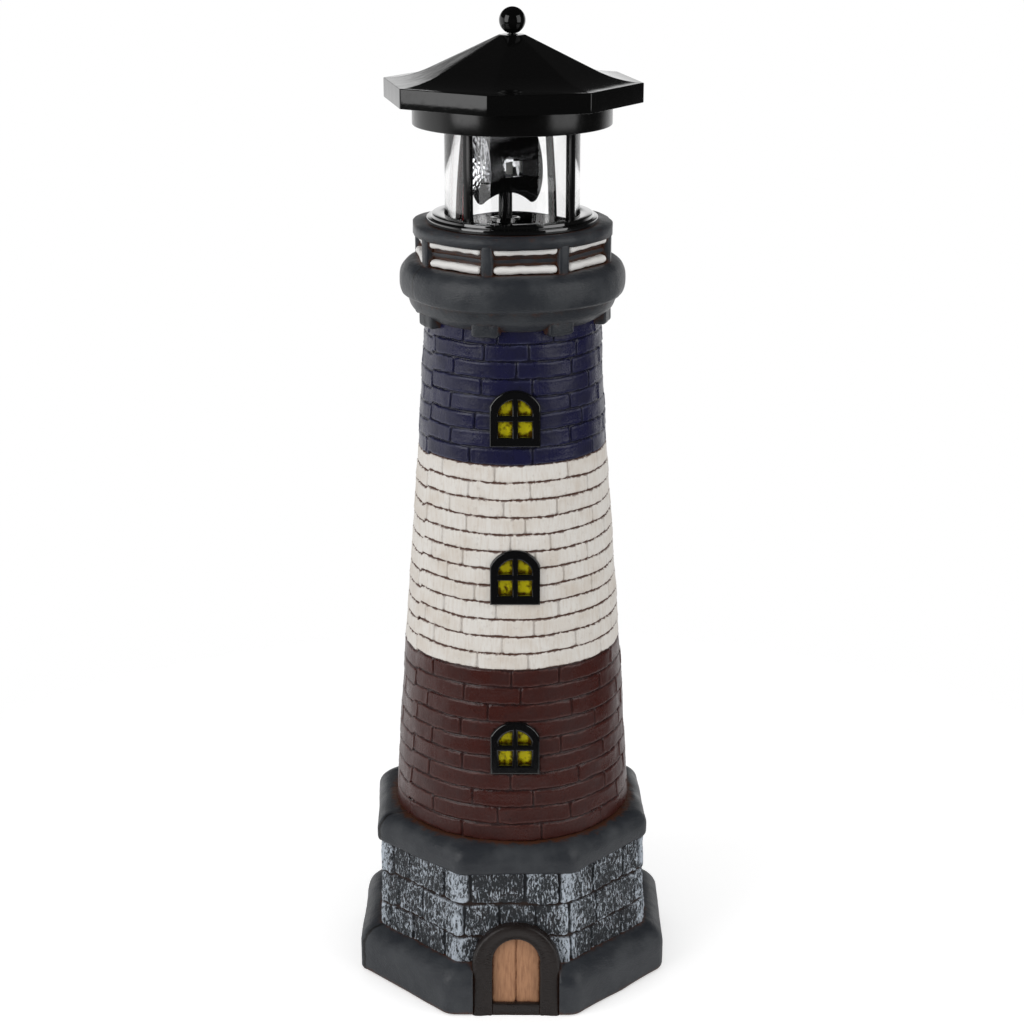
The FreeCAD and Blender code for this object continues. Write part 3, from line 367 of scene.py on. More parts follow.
def wood_grained_paint(name, tint, dark):
    """Tan paint dragged downwards with a coarse brush over the clay door leaves."""
    material, tree, spot = started(name, Roughness=0.55, IOR=PAINT_IOR)
    bristle = speckle(tree, stretched(tree, spot, 0.07), 0.7, 5.0)
    paint = coat(tree, remap(tree, bristle, 0.4, 0.75, 0.0, 0.45), tint, dark)
    reach = calc(tree, "ADD", openness(tree, 1.6), speckle(tree, spot, 2.5, 6.0))
    paint = coat(tree, remap(tree, reach, 0.9, 1.15, 1.0, 0.0), paint, dark)
    return dressed(material, bristle, 0.5, 0.25, Base_Color=paint)


# ---------------------------------------------------------------- shapes
def linked(name, data):
    """A new object in the scene."""
    piece = bpy.data.objects.new(name, data)
    bpy.context.scene.collection.objects.link(piece)
    return piece


def baked(piece):
    """The mesh that an object shows, its modifiers applied."""
    return bpy.data.meshes.new_from_object(piece.evaluated_get(bpy.context.evaluated_depsgraph_get()))


def opened(mesh):
    """A mesh as a shape that can be edited."""
    shape = bmesh.new()
    shape.from_mesh(mesh)
    return shape


def stored(shape, mesh):
    """The mesh, with the edited shape written to it."""
    shape.to_mesh(mesh)
    shape.free()
    return mesh


def metres(points):
    """Points given in millimetres, in metres."""
    return [(a * MM, b * MM) for a, b in points]


def plan_radius(azimuth, corner, corner_round, turn):
    """Distance from the axis to a rounded octagon, for an azimuth."""
    fold = (azimuth - turn + SECTOR / 2) % SECTOR - SECTOR / 2
    flat = corner * TO_FLAT
    straight = corner * math.sin(SECTOR / 2) - corner_round * math.tan(SECTOR / 2)
    if abs(math.tan(fold)) * flat <= straight:
        return flat / math.cos(fold)
    centre = corner - corner_round / TO_FLAT
    swing = SECTOR / 2 - abs(fold)
    return centre * math.cos(swing) + math.sqrt(corner_round ** 2 - (centre * math.sin(swing)) ** 2)


def on_axis(radius, azimuth, z):
    """The point at a distance from the axis, an azimuth and a height."""
    return Vector((radius * math.sin(azimuth), -radius * math.cos(azimuth), z))


def quarter(z, radius, upper, steps=8):
    """A quarter round of (inset, height) between an upright side and a level top or bottom."""
    points = []
    for i in range(steps + 1):
        swing = math.pi / 2 * i / steps
        rise = radius * math.sin(swing)
        points.append((radius * (1 - math.cos(swing)), z + rise if upper else z - rise))
    return points if upper else points[::-1]


def eased(profile, radius, steps=3):
    """A closed profile with each of its corners eased by short curves."""
    points = []
    for i, corner in enumerate(profile):
        here = Vector(corner)
        before = Vector(profile[i - 1]) - here
        after = Vector(profile[(i + 1) % len(profile)]) - here
        if here.x <= 0 or before.length == 0 or after.length == 0 or before.angle(after) > 2.9:
            points.append(tuple(here))
            continue
        start = here + before.normalized() * min(radius, before.length / 3)
        end = here + after.normalized() * min(radius, after.length / 3)
        for step in range(steps + 1):
            share = step / steps
            bend = start.lerp(here, share).lerp(here.lerp(end, share), share)
            points.append(tuple(bend))
    return points


def mesh_of(name, rings, closed=True, around=True):
    """A mesh through rings of points, closed round each ring and, if asked, from last to first."""
    count = len(rings[0])
    points = [point for ring in rings for point in ring]
    faces = []
    for i in range(len(rings) if closed else len(rings) - 1):
        low, high = i * count, (i + 1) % len(rings) * count
        for j in range(count if around else count - 1):
            k = (j + 1) % count
            faces.append((low + j, low + k, high + k, high + j))
    mesh = bpy.data.meshes.new(name)
    mesh.from_pydata(points, [], faces)
    shape = opened(mesh)
    bmesh.ops.remove_doubles(shape, verts=shape.verts, dist=1e-7)
    bmesh.ops.dissolve_degenerate(shape, dist=1e-7, edges=shape.edges)
    bmesh.ops.recalc_face_normals(shape, faces=shape.faces)
    stored(shape, mesh).shade_smooth()
    return mesh


def place(name, mesh, material, body, node):
    """Make a finished mesh a piece: its finish, the body it rides on and the node it stands for."""
    piece = linked(name, mesh)
    if material:
        mesh.materials.clear()
        mesh.materials.append(material)
    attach(piece, body)
    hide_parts(node)


def cast(name, mesh, material=None):
    """A piece of the painted clay casting; masonry and repeated pieces have their finish already."""
    place(name, mesh, material, "tower", "tower_casting")


def moulded(name, mesh, material, node):
    """A piece of the lantern's black plastic."""
    place(name, mesh, material, "lantern", node)


def turned(name, profile, middle=(0, 0), segments=96):
    """A turned shape: a closed profile of (radius, height) carried round an upright axis."""
    rings = []
    for radius, z in profile:
        rings.append([on_axis(max(radius, 0), 2 * math.pi * i / segments, z) + Vector((*middle, 0))
                      for i in range(segments)])
    return mesh_of(name, rings)


def uneven(point, amount, size=16 * MM):
    """A point moved a little, as the surface of a hand-finished casting is."""
    broad, fine = noise.noise_vector(point / size), noise.noise_vector(point * 3.7 / size)
    return point + broad * amount + fine * amount / 3


def clay_band(name, profile, corner, corner_round, turn=0.0, shift=0.0, unevenness=0.35 * MM, step=None,
              around=384):
    """A band of the casting: a closed profile of (inset, height) carried round a rounded octagon.

    At the azimuth of a step one half of the mould stood a little proud; it dies away round the band.
    """
    proud, fade = 0.5 * MM, 0.35
    rings = []
    for inset, z in profile:
        ring = []
        for i in range(around):
            azimuth = 2 * math.pi * i / around
            radius = plan_radius(azimuth, corner - inset, corner_round, turn)
            if step is not None:
                behind = (step - azimuth + math.pi) % (2 * math.pi) - math.pi
                if 0 < behind < fade:
                    radius += proud * (1 - behind / fade)
            ring.append(uneven(on_axis(radius, azimuth, z), unevenness) + Vector((shift, 0, 0)))
        rings.append(ring)
    return mesh_of(name, rings)


def cut(mesh, *cutters):
    """Take closed cutter meshes out of a closed mesh."""
    piece = linked("cut", mesh)
    tools = []
    for cutter in cutters:
        tool = linked("cutter", cutter)
        modifier = piece.modifiers.new("cut", "BOOLEAN")
        modifier.operation = "DIFFERENCE"
        modifier.object = tool
        tools.append(tool)
    done = baked(piece)
    done.name = mesh.name
    for extra in [piece] + tools:
        bpy.data.objects.remove(extra)
    return done


def box_mesh(name, low, high):
    """A plain box between two corners."""
    shape = bmesh.new()
    bmesh.ops.create_cube(shape, size=1.0)
    size = Vector(high) - Vector(low)
    for vertex in shape.verts:
        vertex.co = Vector(low) + Vector((size[i] * (vertex.co[i] + 0.5) for i in range(3)))
    return stored(shape, bpy.data.meshes.new(name))


def rounded_box(name, low, high, radius, segments=3, cuts=0):
    """A box with rounded edges, cut into strips along X where it is to be bent or roughened."""
    mesh = box_mesh(name, low, high)
    shape = opened(mesh)
    bmesh.ops.bevel(shape, geom=shape.edges, offset=radius, segments=segments, affect="EDGES", profile=0.5)
    if cuts:
        half = (high[0] - low[0]) / 2
        long_edges = [edge for edge in shape.edges
                      if abs(edge.verts[0].co.x - edge.verts[1].co.x) > half]
        bmesh.ops.subdivide_edges(shape, edges=long_edges, cuts=cuts)
    stored(shape, mesh).shade_smooth()
    return mesh


# ---------------------------------------------------------------- geometry node trees
def grown(tree, name, values):
    """What a Geometry Nodes tree makes on an empty object, kept as a plain mesh."""
    holder = linked(name, bpy.data.meshes.new(name))
    modifier = holder.modifiers.new("grown", "NODES")
    modifier.node_group = tree
    for item in tree.interface.items_tree:
        if item.in_out == "INPUT" and item.name in values:
            modifier[item.identifier] = values[item.name]
    mesh = baked(holder)
    holder.modifiers.remove(modifier)
    bpy.data.objects.remove(holder)
    mesh.name = name
    return mesh


def with_inputs(name, sockets, result):
    """An empty Geometry Nodes tree with its named inputs, and the sockets that they feed."""
    tree = bpy.data.node_groups.new(name, "GeometryNodeTree")
    for label, kind, default in sockets:
        socket = tree.interface.new_socket(label, in_out="INPUT", socket_type="NodeSocket" + kind)
        if default is not None:
            socket.default_value = default
    tree.interface.new_socket(result, in_out="OUTPUT", socket_type="NodeSocketGeometry")
    return tree, tree.nodes.new("NodeGroupInput").outputs


def masonry_tree():
    """Blocks laid in courses and bent round a wall: each is a pillowed patch with sunk edges."""
    tree, size = with_inputs("Coursed masonry", (
        ("Courses", "Int", 10), ("Blocks", "Int", 10), ("Sides", "Int", 64),
        ("Columns", "Int", 30), ("Rows", "Int", 13),
        ("Foot Z", "Float", 0.0), ("Height", "Float", 0.06), ("Foot Radius", "Float", 0.04),
        ("Head Radius", "Float", 0.04), ("Phase", "Float", 0.0), ("Bond", "Float", 0.5),
        ("Jitter", "Float", 0.06), ("Joint", "Float", 0.00075), ("Depth", "Float", 0.00075),
        ("Corner", "Float", 0.0012), ("Chipping", "Float", 0.0005), ("Lip", "Float", 0.00012),
        ("Relief", "Float", 0.0003), ("Relief Size", "Float", 0.003), ("Wobble", "Float", 0.0008),
        ("Seam", "Float", SEAM_AZIMUTH), ("Mismatch", "Float", 0.0011), ("Seed", "Int", 1),
        ("Material", "Material", None)), "Wall")
    patch = add(tree, "GeometryNodeMeshGrid", {"Size X": 1.0, "Size Y": 1.0, "Vertices X": size["Columns"],
                                               "Vertices Y": size["Rows"]})
    count = calc(tree, "MULTIPLY", size["Courses"], size["Blocks"])
    spots = add(tree, "GeometryNodePoints", {"Count": count})
    numbered = add(tree, "GeometryNodeStoreNamedAttribute",
                   {"Geometry": spots, "Name": "block", "Value": add(tree, "GeometryNodeInputIndex")},
                   data_type="INT", domain="POINT")
    laid = add(tree, "GeometryNodeInstanceOnPoints", {"Points": numbered, "Instance": patch})
    wall = add(tree, "GeometryNodeRealizeInstances", {"Geometry": laid})

    # Which block of which course, and its two ends, counted in blocks
    block = add(tree, "GeometryNodeInputNamedAttribute", {"Name": "block"}, data_type="INT")
    course = calc(tree, "FLOOR", calc(tree, "DIVIDE", block, size["Blocks"]))
    along = calc(tree, "MODULO", block, size["Blocks"])
    after = calc(tree, "ADD", along, 1.0)
    start = calc(tree, "MULTIPLY", course, size["Blocks"])
    wrapped = calc(tree, "MODULO", after, size["Blocks"])
    following = calc(tree, "ADD", start, wrapped)
    ends = []
    for number, whole in ((block, along), (following, after)):
        chance = add(tree, "FunctionNodeRandomValue", {2: -1.0, 3: 1.0, "ID": number, "Seed": size["Seed"]},
                     out=1)
        ends.append(calc(tree, "MULTIPLY_ADD", chance, size["Jitter"], whole))
    width = calc(tree, "SUBTRACT", ends[1], ends[0])

    # Where a point lies within its block, points crowded towards the joints
    spot = add(tree, "ShaderNodeSeparateXYZ", (add(tree, "GeometryNodeInputPosition"),))
    shares = []
    for axis in (0, 1):
        even = calc(tree, "ADD", spot.node.outputs[axis], 0.5)
        swing = calc(tree, "SINE", calc(tree, "MULTIPLY", even, 2 * math.pi))
        shares.append(calc(tree, "MULTIPLY_ADD", swing, -0.12, even))
    across = calc(tree, "MULTIPLY_ADD", shares[0], width, ends[0])
    odd = calc(tree, "MODULO", course, 2.0)
    bonded = calc(tree, "MULTIPLY_ADD", odd, size["Bond"], across)
    pitch = calc(tree, "DIVIDE", 2 * math.pi, size["Blocks"])
    azimuth = calc(tree, "MULTIPLY_ADD", bonded, pitch, size["Phase"])
    rise = calc(tree, "DIVIDE", calc(tree, "ADD", course, shares[1]), size["Courses"])
    z = calc(tree, "MULTIPLY_ADD", rise, size["Height"], size["Foot Z"])
    past = calc(tree, "FLOORED_MODULO", calc(tree, "SUBTRACT", azimuth, size["Seam"]), 2 * math.pi)
    other_half = calc(tree, "GREATER_THAN", past, math.pi)
    dropped = calc(tree, "MULTIPLY", other_half, size["Mismatch"])
    z = calc(tree, "SUBTRACT", z, dropped)
    flat = add(tree, "ShaderNodeMix", {0: rise, 2: size["Foot Radius"], 3: size["Head Radius"]})
    sector = calc(tree, "DIVIDE", 2 * math.pi, size["Sides"])
    half = calc(tree, "MULTIPLY", sector, 0.5)
    turned_on = calc(tree, "ADD", azimuth, half)
    folded = calc(tree, "SUBTRACT", calc(tree, "FLOORED_MODULO", turned_on, sector), half)
    radius = calc(tree, "DIVIDE", flat, calc(tree, "COSINE", folded))
    sine = calc(tree, "SINE", azimuth)
    back = calc(tree, "MULTIPLY", calc(tree, "COSINE", azimuth), -1.0)
    outwards = add(tree, "ShaderNodeCombineXYZ", (sine, back, 0.0))
    level = add(tree, "ShaderNodeCombineXYZ", (0.0, 0.0, z))
    ground = steer(tree, "ADD", scaled(tree, outwards, radius), level)

    # How far a point lies from the edge of its block, its corners rounded and its edge chipped
    mean = calc(tree, "ADD", size["Foot Radius"], size["Head Radius"])
    turn = calc(tree, "MULTIPLY", calc(tree, "MULTIPLY", width, pitch), mean)
    sizes = (calc(tree, "MULTIPLY", turn, 0.5), calc(tree, "DIVIDE", size["Height"], size["Courses"]))
    gaps = []
    nears = []
    for share, whole in zip(shares, sizes):
        other = calc(tree, "SUBTRACT", 1.0, share)
        near = calc(tree, "MULTIPLY", calc(tree, "MINIMUM", share, other), whole)
        nears.append(near)
        short = calc(tree, "SUBTRACT", size["Corner"], near)
        gaps.append(calc(tree, "MAXIMUM", short, 0.0))
    squared = calc(tree, "MULTIPLY", gaps[0], gaps[0])
    reach = calc(tree, "SQRT", calc(tree, "MULTIPLY_ADD", gaps[1], gaps[1], squared))
    inside = calc(tree, "SUBTRACT", size["Corner"], reach)
    chips = speckle(tree, ground, 2.4, 3.0)
    chips = calc(tree, "MULTIPLY_ADD", calc(tree, "SUBTRACT", chips, 0.5), size["Chipping"], inside)
    inner = calc(tree, "MULTIPLY", size["Joint"], 0.25)
    outer = calc(tree, "MULTIPLY", size["Joint"], 1.1)
    far = calc(tree, "MULTIPLY", size["Joint"], 1.9)
    face = smooth(tree, chips, inner, outer, 0.0, 1.0)
    beyond = smooth(tree, chips, outer, far, 1.0, 0.0)
    lip = calc(tree, "MULTIPLY", face, beyond)
    bed = smooth(tree, nears[1], inner, far, 1.0, 0.0)
    corner = calc(tree, "DIVIDE", calc(tree, "ABSOLUTE", folded), half)

    # Relief of the face, then the whole wall a little uneven
    fine = calc(tree, "DIVIDE", 1.0, size["Relief Size"])
    rough = add(tree, "ShaderNodeTexNoise", {"Vector": ground, "Scale": fine, "Detail": 3.0,
                                             "Roughness": 0.6})
    tone = add(tree, "FunctionNodeRandomValue", {2: 0.0, 3: 1.0, "ID": block, "Seed": 7}, out=1)
    mixed = calc(tree, "MULTIPLY_ADD", tone, 0.5, rough)
    raised = calc(tree, "MULTIPLY", calc(tree, "SUBTRACT", mixed, 0.75), size["Relief"])
    proud = calc(tree, "MULTIPLY", raised, face)
    proud = calc(tree, "MULTIPLY_ADD", lip, size["Lip"], proud)
    sunk = calc(tree, "MULTIPLY_ADD", calc(tree, "SUBTRACT", face, 1.0), size["Depth"], proud)
    drift = jolt(tree, 17, 1.0, size["Wobble"], Vector=ground)
    moved = steer(tree, "ADD", steer(tree, "ADD", ground, scaled(tree, outwards, sunk)), drift)
    for label, value in (("face", face), ("lip", lip), ("tone", tone), ("bed", bed), ("corner", corner)):
        wall = add(tree, "GeometryNodeStoreNamedAttribute", {"Geometry": wall, "Name": label, "Value": value},
                   data_type="FLOAT", domain="POINT")
    wall = add(tree, "GeometryNodeSetPosition", {"Geometry": wall, "Position": moved})
    wall = add(tree, "GeometryNodeMergeByDistance", {"Geometry": wall, "Distance": 1e-6})
    wall = add(tree, "GeometryNodeSetShadeSmooth", {"Geometry": wall})
    wall = add(tree, "GeometryNodeSetMaterial", {"Geometry": wall, "Material": size["Material"]})
    add(tree, "NodeGroupOutput", (wall,))
    return tree


def circle_tree():
    """A piece repeated round the axis, each copy a little uneven."""
    tree, size = with_inputs("Round the axis", (
        ("Piece", "Object", None), ("Count", "Int", 8), ("Turn", "Float", 0.0),
        ("Unevenness", "Float", 0.0), ("Material", "Material", None)), "Ring")
    spots = add(tree, "GeometryNodePoints", {"Count": size["Count"]})
    pitch = calc(tree, "DIVIDE", 2 * math.pi, size["Count"])
    turn = calc(tree, "MULTIPLY_ADD", add(tree, "GeometryNodeInputIndex"), pitch, size["Turn"])
    spin = add(tree, "FunctionNodeEulerToRotation", (add(tree, "ShaderNodeCombineXYZ", (0.0, 0.0, turn)),))
    piece = add(tree, "GeometryNodeObjectInfo", {"Object": size["Piece"]}, out="Geometry")
    laid = add(tree, "GeometryNodeInstanceOnPoints", {"Points": spots, "Instance": piece, "Rotation": spin})
    ring = add(tree, "GeometryNodeRealizeInstances", {"Geometry": laid})
    shift = jolt(tree, 4, 3.0, size["Unevenness"])
    ring = add(tree, "GeometryNodeSetPosition", {"Geometry": ring, "Offset": shift})
    ring = add(tree, "GeometryNodeSetMaterial", {"Geometry": ring, "Material": size["Material"]})
    add(tree, "NodeGroupOutput", (ring,))
    return tree


def repeated(name, mesh, count, turn, unevenness, material):
    """Copies of one mesh round the axis, joined as one mesh."""
    piece = linked("pattern", mesh)
    tree = bpy.data.node_groups.get("Round the axis") or circle_tree()
    result = grown(tree, name, {"Piece": piece, "Count": count, "Turn": turn, "Unevenness": unevenness,
                                "Material": material})
    bpy.data.objects.remove(piece)
    return result


# ---------------------------------------------------------------- the tower
def slate_finish(paints, name, seam=None, rust_reach=3.0, washed=None):
    """The slate-grey paint of the foot, ledge, ring and gallery."""
    return brushed_clay(name, paints.slate, paints.slate_light, paints.rust, 0.4, rust_reach, seam, washed)


class LIGHTHOUSE_OT_plinth(bpy.types.Operator):
    """Build the rounded foot and the ledge over the stones"""
    bl_idname = "lighthouse.plinth"
    bl_label = "Foot and ledge"

    def execute(self, context):
        clay, paints = context.scene.lighthouse_clay, context.scene.lighthouse_paints
        half = CASTING[1].x
        foot = [(FOOT_WALL, 0)] + quarter(2 * MM, 2 * MM, False, 4) + metres([(0, 4), (0, 6), (0, 8)])
        foot += quarter(clay.foot_height - clay.foot_round, clay.foot_round, True, 12)
        foot += [(14 * MM, clay.foot_height), (14 * MM, 12 * MM), (FOOT_WALL, 8.6 * MM)]
        mesh = clay_band("foot", foot, half / TO_FLAT, clay.foot_corner, step=SEAM["foot"],
                         unevenness=0.3 * MM)
        for vertex in mesh.vertices:
            x, y, z = vertex.co
            vertex.co = (max(-half, min(half, x)), max(-half, min(half, y)), max(z, 0))
        mesh = cut(mesh, door_slab("doorway", 0.4 * MM, -2 * MM, 12 * MM))
        mesh.shade_smooth()
        cast("plinth_foot", mesh, slate_finish(paints, "slate_acrylic_foot", SEAM["foot"]))
        ledge = [(14 * MM, clay.ledge_bottom)] + quarter(clay.ledge_bottom + 2 * MM, 2 * MM, False, 5)
        ledge += quarter(clay.ledge_top - clay.ledge_round, clay.ledge_round, True, 12)
        ledge += [(9 * MM, clay.ledge_top), (16 * MM, clay.ledge_top)]
        mesh = clay_band("ledge", ledge, clay.ledge_radius, 6 * MM, clay.ledge_turn, clay.ledge_shift,
                         step=SEAM["ledge"])
        finish = slate_finish(paints, "slate_acrylic_ledge", SEAM["ledge"], 4.5, clay.brick_foot)
        cast("plinth_ledge", mesh, finish)
        return {"FINISHED"}


class LIGHTHOUSE_OT_masonry(bpy.types.Operator):
    """Lay the stones of the plinth and the three bands of bricks"""
    bl_idname = "lighthouse.masonry"
    bl_label = "Stones and bricks"

    def execute(self, context):
        clay, paints = context.scene.lighthouse_clay, context.scene.lighthouse_paints
        tree = masonry_tree()
        stone = dry_brushed_stone("dry_brushed_stone", paints.stone_dark, paints.stone_light,
                                  linear("2C1B13"))
        foot_z = clay.foot_height - 3 * MM
        mesh = grown(tree, "stones", {
            "Courses": 3, "Blocks": clay.stones, "Sides": SIDES, "Columns": 40, "Rows": 25,
            "Foot Z": foot_z, "Height": clay.ledge_bottom + 1 * MM - foot_z,
            "Foot Radius": clay.wall_foot * TO_FLAT, "Head Radius": clay.wall_head * TO_FLAT,
            "Phase": math.radians(3), "Bond": 0.42, "Jitter": 0.3, "Joint": 0.75 * MM, "Depth": 1.1 * MM,
            "Corner": 1.6 * MM, "Chipping": 2.2 * MM, "Lip": 0.0, "Relief": 1.7 * MM,
            "Relief Size": 3.2 * MM, "Wobble": 1.2 * MM, "Seed": 5, "Material": stone})
        cast("plinth_stones", mesh)
        # name, courses, from height and radius to height and radius, paints, roughness, azimuth of the
        # first brick, bond, and how much of the upright joints and of the faces the washes cover
        # The lighter paints of the red and blue bands stand for rubbed wear and a painted highlight on the
        # brick lips
        bands = (
            ("red", 10, clay.ledge_top, clay.brick_foot, clay.red_top, clay.red_radius, paints.red,
             paints.red_lip_wear_and_highlight, paints.red_joint, paints.red_joint, 0.3, -26.0, 0.55, 0.4, 0.1),
            ("white", 12, clay.red_top, clay.red_radius, clay.white_top, clay.white_radius, paints.white,
             paints.white, paints.white_joint, paints.white_stain, 0.6, -22.0, 0.42, 0.85, 0.3),
            ("blue", 8, clay.white_top, clay.white_radius, clay.blue_top, clay.blue_radius, paints.blue,
             paints.blue_lip_wear_and_highlight, paints.blue_joint, paints.blue_joint, 0.28, -22.0, 0.53, 0.4, 0.1))
        for (name, courses, low, foot, high, head, paint, lighter_paint, joint, stain, roughness, phase, bond, covered,
             drips) in bands:
            finish = painted_bricks("acrylic_" + name + "_bricks", paint, lighter_paint, joint, stain, 0.45, roughness,
                                    covered, drips)
            mesh = grown(tree, name + "_bricks", {
                "Courses": courses, "Blocks": clay.bricks, "Foot Z": low, "Height": high - low,
                "Foot Radius": foot, "Head Radius": head, "Phase": math.radians(phase), "Bond": bond,
                "Joint": clay.brick_joint, "Depth": clay.brick_depth, "Jitter": 0.2, "Chipping": 0.9 * MM,
                "Relief": 0.5 * MM, "Relief Size": 4.5 * MM, "Wobble": 1.1 * MM, "Seed": courses,
                "Material": finish})
            open_for_windows(mesh)
            cast(name + "_bricks", mesh)
        return {"FINISHED"}


def open_for_windows(mesh):
    """Take away the faces that lie behind the glazed part of a window."""
    shape = opened(mesh)
    margin = 1.6 * MM           # the faces end behind the frame's bars
    gone = []
    for face in shape.faces:
        middle = face.calc_center_median()
        for low, high in WINDOWS:
            if (middle.y < 0 and low.x + margin < middle.x < high.x - margin
                    and low.z + margin < middle.z < high.z - 2 * margin):
                gone.append(face)
    bmesh.ops.delete(shape, geom=gone, context="FACES")
    stored(shape, mesh)


def smooth_profile(points, steps=4):
    """Points of a smooth curve through a profile's points."""
    curve = []
    last = len(points) - 1
    for i in range(last):
        before, start, end, after = (Vector(points[max(0, min(last, i + k))]) for k in (-1, 0, 1, 2))
        bend = 2 * before - 5 * start + 4 * end - after
        swing = 3 * start - before - 3 * end + after
        for step in range(steps):
            t = step / steps
            curve.append(tuple(0.5 * (2 * start + (end - before) * t + bend * t * t + swing * t ** 3)))
    return curve + [points[-1]]


class LIGHTHOUSE_OT_ring(bpy.types.Operator):
    """Build the ring moulding, its skirt and the corbels under it"""
    bl_idname = "lighthouse.ring"
    bl_label = "Ring and corbels"

    def execute(self, context):
        clay, paints = context.scene.lighthouse_clay, context.scene.lighthouse_paints
        finish = slate_finish(paints, "slate_acrylic_ring", SEAM["ring"])
        widest = clay.ring_radius / MM
        ring = smooth_profile([(widest - inset, z) for inset, z in (
            (1.8, 261.1), (1.0, 261.3), (0.4, 262.2), (0, 264.2), (0, 266.8), (0.3, 269.0), (1.2, 271.0),
            (2.8, 272.4), (4.8, 273.1), (6.7, 273.2))])
        skirt = smooth_profile([(31.0, 252.9), (32.2, 253.5), (34.2, 254.9), (36.0, 256.6), (36.9, 258.6),
                                (37.5, 260.9)])
        profile = metres(skirt + ring + [(29.5, 273.2), (29.5, 252.9)])
        mesh = turned("ring_moulding", profile, segments=320)
        for vertex in mesh.vertices:
            vertex.co = uneven(vertex.co, 0.3 * MM)
        cast("ring_moulding", mesh, finish)
        corbel = rounded_box("corbel", (-4.9 * MM, -35.4 * MM, 251.4 * MM),
                             (4.9 * MM, -29.0 * MM, 258.5 * MM), 1.3 * MM, 4, 6)
        turn = clay.gallery_turn - math.radians(1.2) + SECTOR / 2
        mesh = repeated("corbels", corbel, SIDES, turn, 1.0 * MM, finish)
        cast("corbels", mesh)
        return {"FINISHED"}


class LIGHTHOUSE_OT_gallery(bpy.types.Operator):
    """Build the gallery: panels, cap, posts, ribs and the hand-painted rails"""
    bl_idname = "lighthouse.gallery"
    bl_label = "Gallery"

    def execute(self, context):
        clay, paints = context.scene.lighthouse_clay, context.scene.lighthouse_paints
        slate = slate_finish(paints, "slate_acrylic_gallery", rust_reach=2.2)
        top = CASTING[1].z
        turn = clay.gallery_turn
        panel = clay.gallery_radius - 1.9 * MM / TO_FLAT
        foot = clay.gallery_foot
        walls = [(0, foot - 1 * MM), (0, foot + 4 * MM), (0, foot + 8 * MM), (0, top - 1 * MM),
                 (3 * MM, top - 1 * MM), (3 * MM, foot - 1 * MM)]
        mesh = clay_band("panels", walls, panel, 0.5 * MM, turn)
        cast("gallery_panels", mesh, slate)
        low = top - clay.cap_height
        cap = eased([(7 * MM, low), (0, low), (0, top), (7 * MM, top)], 1.9 * MM, 6)
        mesh = clay_band("cap", cap, clay.cap_radius, 28 * MM, turn, unevenness=0.3 * MM)
        for vertex in mesh.vertices:
            vertex.co.z = min(vertex.co.z, top)
        cast("gallery_cap", mesh, slate)
        bore, rim = clay.collar_bore, clay.cap_radius * TO_FLAT - 2 * MM
        lip = [(bore, top - 4 * MM), (bore, top - 0.05 * MM), (rim, top - 0.05 * MM), (rim, top - 4 * MM)]
        cast("collar", turned("collar", lip), slate)

        out = clay.gallery_radius
        post = rounded_box("post", (-2.1 * MM, -out, foot - 1 * MM),
                           (2.1 * MM, -out + 4 * MM, low + 1.5 * MM), 1.2 * MM, 4, 4)
        mesh = repeated("posts", post, SIDES, turn + SECTOR / 2, 0.6 * MM, slate)
        cast("gallery_posts", mesh)
        face = panel * TO_FLAT
        half = clay.gallery_radius * math.sin(SECTOR / 2) - 2.1 * MM
        rib = rounded_box("rib", (-half, -face - 0.7 * MM, foot + 4.2 * MM),
                          (half, -face + 1 * MM, foot + 5.8 * MM), 0.3 * MM, 2, 12)
        mesh = repeated("ribs", rib, SIDES, turn, 0.5 * MM, slate)
        cast("gallery_ribs", mesh)
        white = brushed_clay("acrylic_white_rails", paints.rail, paints.rail, paints.rust, 0.4, 0.4)
        for name, z in (("lower", foot + 0.6 * MM), ("upper", foot + 7.2 * MM)):
            rail = rounded_box("rail", (-half + 0.5 * MM, -face - 2.4 * MM, z),
                               (half - 0.5 * MM, -face + 1.4 * MM, z + clay.rail_height), 1.3 * MM, 5, 30)
            mesh = repeated("rails_" + name, rail, SIDES, turn, 1.0 * MM, white)
            cast("rails_" + name, mesh)
        return {"FINISHED"}


class LIGHTHOUSE_OT_hollow(bpy.types.Operator):
    """Line the casting's hollow, open at the foot and at the collar"""
    bl_idname = "lighthouse.hollow"
    bl_label = "Hollow of the casting"

    def execute(self, context):
        clay, paints = context.scene.lighthouse_clay, context.scene.lighthouse_paints
        bare = brushed_clay("fired_clay_bare", linear("8A7A6C"), linear("A39485"), paints.rust, 0.85, 1.0)
        wall = CASTING_WALL
        corner = CASTING[1].x / TO_FLAT - FOOT_WALL
        inner = clay.wall_head - wall / TO_FLAT
        octagons = [(corner, 0), (corner, 8.6 * MM), (inner, clay.foot_height + wall),
                    (inner, clay.ledge_bottom - wall)]
        rounds = [(clay.brick_foot - wall, clay.ledge_bottom), (clay.red_radius - wall, clay.red_top),
                  (clay.white_radius - wall, clay.white_top), (clay.blue_radius - wall, clay.blue_top),
                  (clay.collar_bore, clay.blue_top + 2 * MM), (clay.collar_bore, CASTING[1].z - 1 * MM)]
        turns = [2 * math.pi * i / 96 for i in range(96)]
        rings = [[on_axis(plan_radius(turn, radius, 2 * MM, 0), turn, z) for turn in turns]
                 for radius, z in octagons]
        rings += [[on_axis(radius, turn, z) for turn in turns] for radius, z in rounds]
        mesh = mesh_of("hollow", rings, closed=False)
        mesh.flip_normals()
        cast("casting_hollow", mesh, bare)
        return {"FINISHED"}


